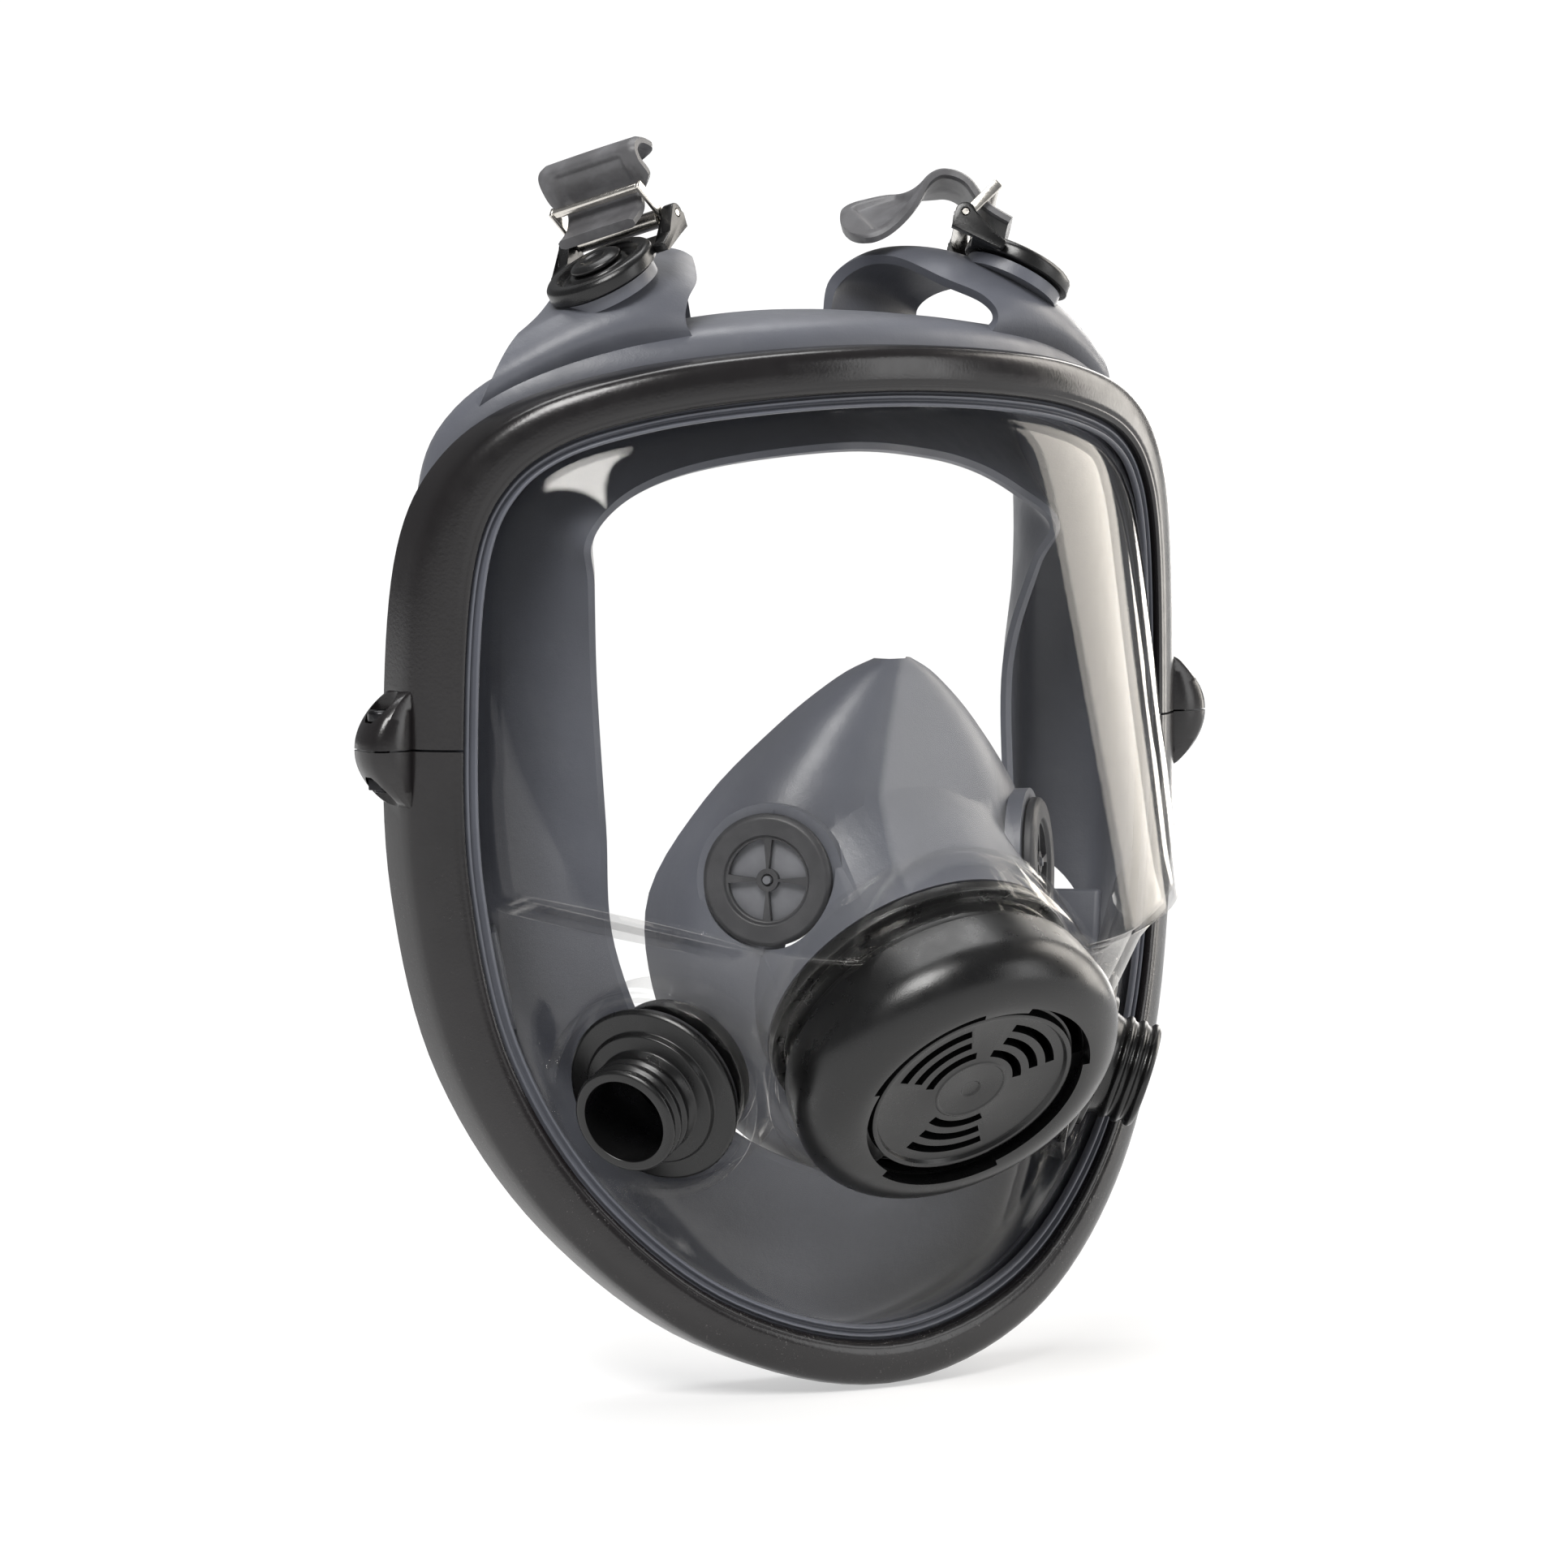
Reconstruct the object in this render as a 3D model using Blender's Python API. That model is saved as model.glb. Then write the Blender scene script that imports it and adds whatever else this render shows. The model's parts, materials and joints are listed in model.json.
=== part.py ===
"""Full face respirator, modelled upright: it faces -Y, +X is to the right seen from the front, +Z is up.

Lengths in this script are millimetres. MM turns them into metres where meshes and placements are made.
The origin is the middle of the head opening's front, level with the wearer's cheekbones.
"""

import math

import bmesh
import bpy
from mathutils import Matrix, Vector

MM = 0.001

# The thin curved shells are joined and cut with this solver, which keeps them closed.
THIN_SOLVER = "MANIFOLD"

# Lens outline: the outer edge of the clamp, right half, from the forehead down to the chin (x, z).
OUTLINE = [(0, 110), (30, 108.6), (55, 105), (75, 98.2), (88, 86.5), (95, 68),
           (97.3, 35), (96.3, -5), (88.5, -44), (70, -77), (40, -102), (0, -112.5)]
# Rearmost rim of the face seal and the edge of its face opening, matched to OUTLINE point by point (x, y, z).
SEAL_RIM = [(0, 60, 114), (22, 60, 112), (40, 58, 107), (55, 57, 100), (66, 58, 90), (72, 62, 72),
            (75.5, 66, 40), (74, 65, 4), (66, 58, -28), (52, 46, -56), (30, 34, -80), (0, 28, -91)]
FACE_OPENING = [(0, 20, 88), (22, 26, 86), (38, 30.5, 82.5), (50, 32, 77), (58.5, 29.5, 69.5), (56, 33.5, 60),
                (52.5, 39, 38), (51.5, 37, 8), (51, 34, -18), (43, 25, -44), (25, 17.5, -61), (0, 13.5, -68.5)]
STEPS_PER_KEY = 2

# The outline is wrapped on an upright cylinder, so its sides lie further back than its middle.
WRAP_RADIUS = 150
WRAP_FRONT = 2

# Lens clamp: a C-shaped section around the edge of the lens, n outward from OUTLINE and y backward.
CLAMP_SECTION = [(0, 4), (-0.7, 1.4), (-2.6, 0.2), (-7.6, 0), (-9.6, 0.9), (-10, 3.2), (-3, 3.2),
                 (-3, 10.6), (-8.8, 10.6), (-8.8, 12.6), (-1, 12.6), (0, 11.5)]
SEAM_Z = 26
SEAM_GAP = 0.5
LUG_DEPTH = 12
LUG_HEIGHT = 12.5
LUG_FOOT_X = 95.2
LUG_OUT_X = (96.6, 104.4, 105.2)
SCREW_X = 101
SCREW_SEAT = 6
LUG_BACK = 7
LUG_GAP_Z = 0.4

# Face seal: the bead that holds the lens, its points before and after the wall, and the wall behind it.
BEAD_FRONT = [(-5.2, 4.9), (-13, 4.9), (-12.8, 3), (-10.4, 2.5), (-10.4, 3.5), (-3.3, 3.5), (-3.3, 10.3)]
BEAD_BACK = [(-12.8, 9), (-12.6, 8.2), (-5.2, 8.2)]
WALL_THICKNESS = 2.4
WALL_START = (-10.6, 10.4)
WALL_THROAT = (-10.6, 14.4)
WALL_STEPS = 2
# The space of the clamp and of a gap round it, which the seal keeps clear of.
CLAMP_ROOM = [(0.8, -3), (-3.1, -3), (-3.1, 10.35), (-9.1, 10.35), (-9.1, 12.9), (0.8, 12.9)]

# Lens
LENS_EDGE = -5.6
LENS_SEAT = 5.2
LENS_THICKNESS = 2
# The window bulges inside this offset of the outline. Its corners and its ledge are at these stations of it.
LENS_WINDOW = -13.4
TOP_CORNER = 6.6
BOTTOM_CORNER = 17.6
LEDGE_STATION = 14
LENS_TOP_Z = 96.6
LEDGE_Z = -18
LEDGE_RISE = 15
UPPER_BULGE = 42
# The lower front of the lens lies in the plane that the exhalation unit sits on.
SEAT_LEVEL = -11.6
LENS_COLUMNS = 14
LENS_UPPER_ROWS = 6
LENS_LOWER_ROWS = 6

# Voice and exhalation unit, on one axis that points forward and down out of the chin.
UNIT_CENTRE = (0, -21.5, -39)
UNIT_TILT = 39
GRILLE_LEVEL = 8.6
SECTOR_ANGLES = (50, 140, 270)
SECTOR_SPREAD = 29
SECTOR_RINGS = ((9.6, 11.6), (13.4, 15.4), (17.2, 19.2))
OUTER_SLOT = (23.9, 26.4)

# Inlets
PORT_CENTRE = (54.8, 9.8, -46.3)
PORT_AXIS = (0.815, -0.49, -0.31)
PORT_FLANGE_RADIUS = 19.5
TUBE_RADIUS = 11.6
TUBE_BORE = 9.2
TUBE_LENGTH = 13.3
THREAD_PITCH = 2.9
THREAD_END = 5

# Nose cup sections: z, half width, y of the rim, y of the front.
CUP_SECTIONS = [(44, 4, 4, 0), (40, 11, 7.5, -2), (30, 22, 13.5, -4.6), (14, 35, 22, -7.2), (-6, 45, 28.5, -8.6),
                (-26, 44, 29, -3), (-44, 36.5, 27, 5.5), (-58, 25, 25.5, 14.5), (-67, 12, 24.5, 19.5)]
CUP_THICKNESS = 2.2
CUP_STEPS = 1
CUP_COLUMNS = 10
CUP_VALVE = (34, -2.2, -1)
CUP_VALVE_AXIS = (0.74, -0.67, 0.05)
CUP_VALVE_RADIUS = 14
# The collar that joins the cup to the exhalation housing is longer at its top than at its bottom.
COLLAR_LEVELS = (-34, -19)
COLLAR_SLOPE = -0.4

# Buckles: the stud's foot on the seal, the direction the stud points in and the direction of the strap.
UPPER_BUCKLE = (51.4, 35.3, 123.6)
UPPER_STUD = (0.5, 0, 0.866)
UPPER_STRAP = (-0.72, 0.545, 0.42)
LOWER_BUCKLE = (61, 68, -26)
LOWER_STUD = (0.87, 0.45, -0.2)
LOWER_STRAP = (-0.46, 0.886, -0.05)

SIDES = {"right": 1, "left": -1}

# Temple arches: points across each strap arch (inner foot, crest, outer foot), from front to rear.
ARCH_SECTIONS = [
    ((40, 24.5, 108), (60, 32, 103.5), (80, 45, 90)), ((38, 22.5, 115), (58, 26.5, 112), (78.5, 38, 101)),
    ((35.5, 25.5, 119.2), (54, 28, 119), (73, 38.5, 110)), ((31.5, 32, 123), (47, 34, 125), (64.5, 42, 117)),
    ((25.5, 43, 128), (38, 44, 129.6), (55, 51, 123)), ((21, 52, 127.5), (31, 54, 128.8), (47, 60, 121.5)),
    ((18, 59, 122), (28, 62, 122.5), (43, 65, 115.5)), ((17, 59.5, 111.5), (28, 60.5, 110.5), (41, 60, 105.5))]

# Strap ends in the frame of their buckle: local y, local z, half width.
STRAP_THICKNESS = 2.2
RIGHT_STRAP = [(5.5, 8.6, 9.6), (12, 9.5, 9.6), (17.8, 12.6, 9.6), (22.4, 12.4, 9.6), (26, 9.6, 10.5),
               (29, 4.8, 12.4), (33, -1.4, 12.4), (36.4, -5.6, 11), (38.2, -7.4, 8)]
RIGHT_STRAP_TWIST = 34
LEFT_STRAP = [(5.5, 8.6, 9.6), (11.2, 9.2, 9.6), (14.6, 11.8, 9.6), (15, 15.4, 12.4), (13.8, 20.4, 12.4),
              (15.4, 22.8, 12.4), (19, 22.4, 12.4), (23, 18, 12.4), (24.4, 15.4, 11)]

COLOURS = {
    "seal_silicone": ((0.13, 0.135, 0.155), 0.42, 0.0),
    "clear_lens": ((0.86, 0.87, 0.86), 0.05, 0.0),
    "clamp_plastic": ((0.022, 0.020, 0.022), 0.33, 0.0),
    "black_plastic": ((0.015, 0.015, 0.016), 0.30, 0.0),
    "gasket_rubber": ((0.02, 0.02, 0.022), 0.6, 0.0),
    "flap_silicone": ((0.30, 0.31, 0.33), 0.45, 0.0),
    "steel": ((0.72, 0.71, 0.69), 0.25, 1.0),
    "black_steel": ((0.03, 0.03, 0.032), 0.35, 1.0),
    "strap_rubber": ((0.12, 0.12, 0.125), 0.55, 0.0),
}


def material(slot):
    """The Principled material of this name, made on first use."""
    made = bpy.data.materials.get(slot)
    if made:
        return made
    colour, roughness, metallic = COLOURS[slot]
    made = bpy.data.materials.new(slot)
    made.use_nodes = True
    shader = made.node_tree.nodes["Principled BSDF"]
    shader.inputs["Base Color"].default_value = (*colour, 1)
    shader.inputs["Roughness"].default_value = roughness
    shader.inputs["Metallic"].default_value = metallic
    return made


def add_object(name, bm, slot=None, matrix=None):
    """An object in metres made of this bmesh, which is in millimetres and placed by matrix."""
    if matrix is None:
        matrix = Matrix()
    bm.normal_update()
    bmesh.ops.triangulate(bm, faces=bm.faces)
    bmesh.ops.recalc_face_normals(bm, faces=bm.faces)
    bmesh.ops.scale(bm, vec=(MM, MM, MM), verts=bm.verts)
    mesh = bpy.data.meshes.new(name)
    bm.to_mesh(mesh)
    bm.free()
    mesh.shade_smooth()
    mesh.set_sharp_from_angle(angle=math.radians(35))
    made = bpy.data.objects.new(name, mesh)
    bpy.context.collection.objects.link(made)
    place = matrix.copy()
    place.translation = matrix.translation * MM
    made.matrix_world = place
    if slot:
        mesh.materials.append(material(slot))
    return made


def boolean(target, cutter, operation="DIFFERENCE", solver="EXACT"):
    """Joins or cuts target with cutter, which stays in the file as a hidden guide."""
    modifier = target.modifiers.new(operation.title() + " " + cutter.name, "BOOLEAN")
    modifier.operation = operation
    modifier.object = cutter
    modifier.solver = solver
    cutter.hide_render = True
    cutter.display_type = "WIRE"
    return target


def frame_at(centre, axis, across=(0, 0, 1)):
    """A matrix at centre whose Z runs along axis and whose Y lies as near to across as it can."""
    z = Vector(axis).normalized()
    y = Vector(across)
    y = (y - z * y.dot(z)).normalized()
    x = y.cross(z)
    rows = Matrix((x, y, z)).transposed().to_4x4()
    rows.translation = Vector(centre)
    return rows


def mirrored(point, side):
    return (point[0] * side, point[1], point[2])


def lathe(profile, steps=32):
    """A turned solid about Z from the closed (radius, height) profile. A point at radius 0 is on the axis."""
    bm = bmesh.new()
    rings = []
    for radius, height in profile:
        if radius == 0:
            rings.append([bm.verts.new((0, 0, height))])
            continue
        angles = [2 * math.pi * i / steps for i in range(steps)]
        rings.append([bm.verts.new((radius * math.cos(a), radius * math.sin(a), height)) for a in angles])
    for ring, following in zip(rings, rings[1:] + rings[:1]):
        if len(ring) == 1 and len(following) == 1:
            continue
        for i in range(steps):
            j = (i + 1) % steps
            corners = [ring[i % len(ring)], ring[j % len(ring)],
                       following[j % len(following)], following[i % len(following)]]
            bm.faces.new(list(dict.fromkeys(corners)))
    return bm


def loft(rings, closed=False):
    """A solid through rings of equal length. A closed one joins its last ring to its first."""
    bm = bmesh.new()
    made = [[bm.verts.new(p) for p in ring] for ring in rings]
    count = len(made[0])
    pairs = list(zip(made, made[1:]))
    if closed:
        pairs.append((made[-1], made[0]))
    for ring, following in pairs:
        for i in range(count):
            j = (i + 1) % count
            bm.faces.new((ring[i], ring[j], following[j], following[i]))
    if not closed:
        bm.faces.new(made[0][::-1])
        bm.faces.new(made[-1])
    return bm


def offset_grid(grid, distance, closed=False):
    """The grid of points moved this far along each point's own normal. A closed one joins its last row to its first."""
    rows = len(grid)
    columns = len(grid[0])
    moved = []
    for r in range(rows):
        up = grid[(r - 1) % rows] if closed else grid[max(r - 1, 0)]
        down = grid[(r + 1) % rows] if closed else grid[min(r + 1, rows - 1)]
        line = []
        for c in range(columns):
            across = grid[r][min(c + 1, columns - 1)] - grid[r][max(c - 1, 0)]
            line.append(grid[r][c] + across.cross(down[c] - up[c]).normalized() * distance)
        moved.append(line)
    return moved


def shell(grid, thickness):
    """A solid of this thickness behind a grid of points."""
    behind = offset_grid(grid, thickness)
    return loft([front + back[::-1] for front, back in zip(grid, behind)])


def catmull(a, b, c, d, t):
    """The point at t on the smooth stretch from b to c."""
    return 0.5 * (2 * b + (c - a) * t + (2 * a - 5 * b + 4 * c - d) * t**2 + (3 * b - a - 3 * c + d) * t**3)


def ring_curve(half, steps=STEPS_PER_KEY):
    """A smooth closed curve through a right half, top to bottom, and its mirror image, as Vectors."""
    right = [Vector(p) for p in half]
    left = [Vector((-p[0], *p[1:])) for p in half[1:-1]][::-1]
    keys = right + left
    count = len(keys)
    curve = []
    for i in range(count):
        four = [keys[(i + k) % count] for k in (-1, 0, 1, 2)]
        curve += [catmull(*four, s / steps) for s in range(steps)]
    return curve


def smooth_step(low, high, value):
    t = min(1, max(0, (value - low) / (high - low)))
    return t * t * (3 - 2 * t)


def wrap(x):
    """How far back the wrapped outline lies at this x."""
    return WRAP_FRONT + WRAP_RADIUS - math.sqrt(WRAP_RADIUS**2 - x**2)


def outward(curve, i):
    """The outward direction of the closed outline in the XZ plane at its point i."""
    tangent = curve[(i + 1) % len(curve)] - curve[i - 1]
    return Vector((-tangent[1], tangent[0])).normalized()


def outline_point(curve, i, n, y):
    """The point n outside the outline at its point i, and y behind the wrapped surface there."""
    flat = curve[i] + outward(curve, i) * n
    return Vector((flat[0], wrap(flat[0]) + y, flat[1]))


def section_ring(section, curve, i):
    return [outline_point(curve, i, n, y) for n, y in section]


def ring_at_height(first, second, z):
    """The ring between two neighbouring ones, each of its points at this height."""
    return [a.lerp(b, (z - a.z) / (b.z - a.z)) for a, b in zip(first, second)]


def box(low, high):
    """A box from one corner to the other."""
    bm = bmesh.new()
    bmesh.ops.create_cube(bm, size=1)
    size = Vector(high) - Vector(low)
    middle = (Vector(high) + Vector(low)) / 2
    bmesh.ops.scale(bm, vec=size, verts=bm.verts)
    bmesh.ops.translate(bm, vec=middle, verts=bm.verts)
    return bm


def cylinder(radius, low, high, steps=32):
    return lathe([(0, high), (radius, high), (radius, low), (0, low)], steps)


def clamp_half(name, curve, upper):
    """One half of the lens clamp, with a lug on each side at the seam."""
    facing = 1 if upper else -1
    end = SEAM_Z + facing * SEAM_GAP / 2
    rings = [section_ring(CLAMP_SECTION, curve, i) for i in range(len(curve))]
    inside = [i for i in range(len(curve)) if (curve[i][1] - end) * facing > 0]
    first = next(i for i in inside if (i - 1) % len(curve) not in inside)
    order = [(first + k) % len(curve) for k in range(len(inside))]
    kept = [rings[i] for i in order]
    kept.insert(0, ring_at_height(rings[order[0]], rings[order[0] - 1], end))
    kept.append(ring_at_height(rings[order[-1]], rings[order[-1] + 1], end))
    half = add_object(name, loft(kept), "clamp_plastic")
    for side_name, side in SIDES.items():
        # The lug is widest at the seam and fades into the clamp away from it.
        wide = SEAM_Z + facing * LUG_GAP_Z / 2
        narrow = SEAM_Z + facing * LUG_HEIGHT
        back = wrap(LUG_FOOT_X) + LUG_BACK
        front_y = back - LUG_DEPTH / 2
        rear_y = back + LUG_DEPTH / 2
        rings = []
        for z, out in zip((narrow, wide * 0.45 + narrow * 0.55, wide), LUG_OUT_X):
            rings.append([(side * LUG_FOOT_X, front_y, z), (side * out, front_y + 1.5, z),
                          (side * out, rear_y - 1.5, z), (side * LUG_FOOT_X, rear_y, z)])
        lug = add_object(name + "_lug_" + side_name, loft(rings))
        boolean(half, lug, "UNION")
        seat = SCREW_SEAT - 0.3
        drill = lathe([(0, 30), (3.5, 30), (3.5, seat), (1.9, seat), (1.9, -seat), (3.5, -seat), (3.5, -30), (0, -30)], 16)
        place = Matrix.Translation((side * SCREW_X, back, SEAM_Z))
        boolean(half, add_object(name + "_hole_" + side_name, drill, matrix=place))
    return half


def clamp_fasteners():
    seat = SCREW_SEAT
    for side_name, side in SIDES.items():
        place = Matrix.Translation((side * SCREW_X, wrap(LUG_FOOT_X) + LUG_BACK, SEAM_Z))
        screw = lathe([(0, seat + 2.4), (2.5, seat + 2.4), (3, seat + 1.8), (3, seat), (1.6, seat),
                       (1.6, -seat - 3), (0, -seat - 3)], 16)
        add_object("clamp_screw_" + side_name, screw, "black_steel", place)
        nut = lathe([(3.2, -seat), (3.2, -seat - 2.4), (1.9, -seat - 2.4), (1.9, -seat)], 6)
        add_object("clamp_nut_" + side_name, nut, "black_steel", place)


def wall_path(curve, i, rim, opening):
    """The section of the seal's wall: back from the lens bead to the rim, then forward to the face opening."""
    forehead = smooth_step(72, 104, curve[i][1])
    start = outline_point(curve, i, *WALL_START)
    throat = outline_point(curve, i, *WALL_THROAT)
    ridge = outline_point(curve, i, -8.5 + 12.6 * forehead, 26 - 8 * forehead)
    middle = (rim + opening) / 2 + Vector((0, 3, 0))
    keys = [start, throat, ridge, rim, middle, opening]
    padded = [start * 2 - throat, *keys, opening * 2 - middle]
    path = []
    for k in range(1, len(keys)):
        path += [catmull(*padded[k - 1:k + 3], s / WALL_STEPS) for s in range(WALL_STEPS)]
    return path + [opening]


def seal_ring(curve):
    """The bead and the wall as one closed ring."""
    rims = ring_curve(SEAL_RIM)
    openings = ring_curve(FACE_OPENING)
    grid = [wall_path(curve, i, rims[i], openings[i]) for i in range(len(curve))]
    inner = offset_grid(grid, WALL_THICKNESS / 2, closed=True)
    outer = offset_grid(grid, -WALL_THICKNESS / 2, closed=True)
    rings = []
    for i in range(len(curve)):
        front = [outline_point(curve, i, n, y) for n, y in BEAD_FRONT]
        back = [outline_point(curve, i, n, y) for n, y in BEAD_BACK]
        rings.append(front + outer[i] + inner[i][::-1] + back)
    return loft(rings, closed=True)


def arch_rows(side, across=4, between=1):
    """The strap arch over one temple: rows of points from its front foot to its rear foot."""
    sections = []
    for medial, crest, lateral in ARCH_SECTIONS:
        a, b, c = (Vector(mirrored(p, side)) for p in (medial, crest, lateral))
        crown = b * 2 - (a + c) / 2
        ts = [k / across for k in range(across + 1)]
        sections.append([a * (1 - t)**2 + crown * 2 * t * (1 - t) + c * t * t for t in ts])
    rows = []
    for k in range(len(sections) - 1):
        four = [sections[max(0, min(len(sections) - 1, k + o))] for o in (-1, 0, 1, 2)]
        for s in range(between):
            rows.append([catmull(*points, s / between) for points in zip(*four)])
    return rows + [sections[-1]]


def face_seal(curve):
    """The soft body: lens bead, wall, sealing lip, temple arches and the lower strap tabs, in one piece."""
    seal = add_object("face_seal", seal_ring(curve), "seal_silicone")
    for side_name, side in SIDES.items():
        arch = add_object("face_seal_arch_" + side_name, shell(arch_rows(side), -WALL_THICKNESS * side))
        boolean(seal, arch, "UNION", THIN_SOLVER)
        foot = mirrored(LOWER_BUCKLE, side)
        tab_frame = frame_at(foot, mirrored(LOWER_STUD, side), mirrored(LOWER_STRAP, side))
        tab = add_object("face_seal_tab_" + side_name, box((-11, -34, -2.4), (11, 9, 0)), matrix=tab_frame)
        boolean(seal, tab, "UNION", THIN_SOLVER)
        top_frame = frame_at(mirrored(UPPER_BUCKLE, side), mirrored(UPPER_STUD, side), mirrored(UPPER_STRAP, side))
        pad = add_object("face_seal_pad_" + side_name, cylinder(11, -2.6, 0, 20), matrix=top_frame)
        boolean(seal, pad, "UNION", THIN_SOLVER)
        for place, level in ((top_frame, "upper"), (tab_frame, "lower")):
            seat = add_object("face_seal_seat_" + level + side_name, cylinder(23.5, 0, 14, 24), matrix=place)
            boolean(seal, seat, solver=THIN_SOLVER)
    room = [section_ring(CLAMP_ROOM, curve, i) for i in range(len(curve))]
    boolean(seal, add_object("face_seal_clamp_room", loft(room, closed=True)), solver=THIN_SOLVER)
    return seal


def along(curve, station, n, y):
    """The point of a section of the outline at a station that needn't be whole. It goes round at the ends."""
    whole = math.floor(station)
    first = outline_point(curve, whole % len(curve), n, y)
    second = outline_point(curve, (whole + 1) % len(curve), n, y)
    return first.lerp(second, station - whole)


def half_width_at(curve, z):
    """The half width of the window inside its flat rim, at a height."""
    points = [outline_point(curve, i, LENS_WINDOW, 0) for i in range(len(curve) // 2 + 1)]
    for above, below in zip(points, points[1:]):
        if below.z <= z <= above.z:
            return max(1, above.x + (below.x - above.x) * (above.z - z) / (above.z - below.z))
    return 1


def upper_bulge(x, z, inner):
    """How far the tall upper window stands out. It leans forward and turns square corners lower down."""
    share = min(1, abs(x) / inner)
    lean = max(0, LENS_TOP_Z - z) / (LENS_TOP_Z - LEDGE_Z)
    return UPPER_BULGE * lean * (1 - share**6)**0.7


def lower_bulge(x, z, inner):
    """How far the snout under the ledge stands out. Its steep sides carry the inlets."""
    share = min(1, abs(x) / inner)
    tilt = math.radians(UNIT_TILT)
    seat_y = UNIT_CENTRE[1] - (SEAT_LEVEL + LENS_THICKNESS) / math.cos(tilt) - (z - UNIT_CENTRE[2]) * math.tan(tilt)
    proud = wrap(x) + LENS_SEAT - seat_y
    proud = (proud + math.sqrt(proud**2 + 4)) / 2 * smooth_step(-98, -82, z)
    edge = 1 / (1 + math.exp((share - 0.7) / 0.07)) - share**4 / (1 + math.exp(0.3 / 0.07))
    valley = 9.5 * math.exp(-((share - 0.85) / 0.1)**2 - ((z - PORT_CENTRE[2]) / 24)**2)
    return proud * edge - valley * (1 - smooth_step(0.88, 1, share))


def lens_row(curve, share, sides, middle_z, bulge):
    """One row of points over the window, and the stations of its two ends.

    share runs from 0 for a row that follows the outline to 1 for one that follows the ledge."""
    half = len(curve) // 2
    ends_at, outline_at = sides
    corner = along(curve, ends_at, LENS_WINDOW, 0)
    outline_corner = along(curve, outline_at, LENS_WINDOW, 0)
    centre = 0 if outline_at < half / 2 else half
    outline_centre = along(curve, centre, LENS_WINDOW, 0)
    row = []
    for k in range(LENS_COLUMNS + 1):
        across = math.sin(math.pi / 2 * (2 * k / LENS_COLUMNS - 1))
        point = along(curve, centre + (outline_at - centre) * abs(across), LENS_WINDOW, 0)
        outline_rise = (point.z - outline_corner.z) / (outline_centre.z - outline_corner.z)
        outline_x = point.x / outline_corner.x
        x = corner.x * ((1 - share) * outline_x + share * abs(across))
        rise = (1 - share) * outline_rise + share * (1 - across**2)
        z = corner.z + (middle_z - corner.z) * rise
        x = math.copysign(x, across)
        row.append(Vector((x, wrap(x) + LENS_SEAT - bulge(x, z, half_width_at(curve, z)), z)))
    return row


def lens_rows(curve):
    """Rows of points over the window and the stations where its edge meets the flat rim, in order round it.

    Two rows make the ledge, one at its front edge and one behind it."""
    half = len(curve) // 2
    top_z = along(curve, 0, LENS_WINDOW, 0).z
    bottom_z = along(curve, half, LENS_WINDOW, 0).z
    rows = []
    sides = []
    for k in range(LENS_UPPER_ROWS + 1):
        share = 1 - math.cos(math.pi / 2 * k / LENS_UPPER_ROWS)
        sides.append(TOP_CORNER + (LEDGE_STATION - TOP_CORNER) * share)
        rows.append(lens_row(curve, share, (sides[-1], TOP_CORNER), top_z + (LEDGE_Z - top_z) * share, upper_bulge))
    below = LEDGE_Z - 2.6
    for k in range(LENS_LOWER_ROWS + 1):
        share = 1 - math.sin(math.pi / 2 * k / LENS_LOWER_ROWS)
        sides.append(BOTTOM_CORNER + (LEDGE_STATION + 0.2 - BOTTOM_CORNER) * share)
        rows.append(lens_row(curve, share, (sides[-1], BOTTOM_CORNER), bottom_z + (below - bottom_z) * share,
                             lower_bulge))
    across = [math.sin(math.pi / 2 * (2 * k / LENS_COLUMNS - 1)) for k in range(LENS_COLUMNS + 1)]
    stations = [TOP_CORNER * a for a in across] + sides[1:-1]
    stations += [half + (half - BOTTOM_CORNER) * a for a in across] + [-station for station in sides[1:-1][::-1]]
    return rows, stations


def edge_of(rows):
    """The points round the edge of a grid, in the same order as its stations."""
    right = [row[-1] for row in rows[1:-1]]
    left = [row[0] for row in rows[1:-1]]
    return rows[0] + right + rows[-1][::-1] + left[::-1]


def lens_shell(curve):
    """The window as a shell with a flat rim all round, which sits in the seal's groove."""
    rows, stations = lens_rows(curve)
    behind = offset_grid(rows, LENS_THICKNESS)
    bm = bmesh.new()
    sheets = []
    for grid, level in ((rows, LENS_SEAT), (behind, LENS_SEAT + LENS_THICKNESS)):
        made = [[bm.verts.new(point) for point in row] for row in grid]
        for vertex, station in zip(edge_of(made), stations):
            vertex.co = along(curve, station, LENS_WINDOW, level)
        for row, following in zip(made, made[1:]):
            for k in range(len(row) - 1):
                bm.faces.new((row[k], row[k + 1], following[k + 1], following[k]))
        outer = [bm.verts.new(along(curve, station, LENS_EDGE, level)) for station in stations]
        sheets.append((edge_of(made), outer))
    (front_inner, front_outer), (back_inner, back_outer) = sheets
    for first, second in ((front_inner, front_outer), (front_outer, back_outer), (back_outer, back_inner)):
        for k in range(len(first)):
            j = (k + 1) % len(first)
            bm.faces.new((first[k], first[j], second[j], second[k]))
    return bm


def unit_frame():
    tilt = math.radians(UNIT_TILT)
    return frame_at(UNIT_CENTRE, (0, -math.cos(tilt), -math.sin(tilt)))


def port_frame(side):
    return frame_at(mirrored(PORT_CENTRE, side), mirrored(PORT_AXIS, side))


def slanted(radius, low, high, low_slope, high_slope, steps=30):
    """A cylinder whose ends are tilted planes, each slope given along local X and Y."""
    plug = cylinder(radius, low, high, steps)
    for vertex in plug.verts:
        slope = high_slope if vertex.co.z > (low + high) / 2 else low_slope
        vertex.co.z += slope[0] * vertex.co.x + slope[1] * vertex.co.y
    return plug


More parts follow.
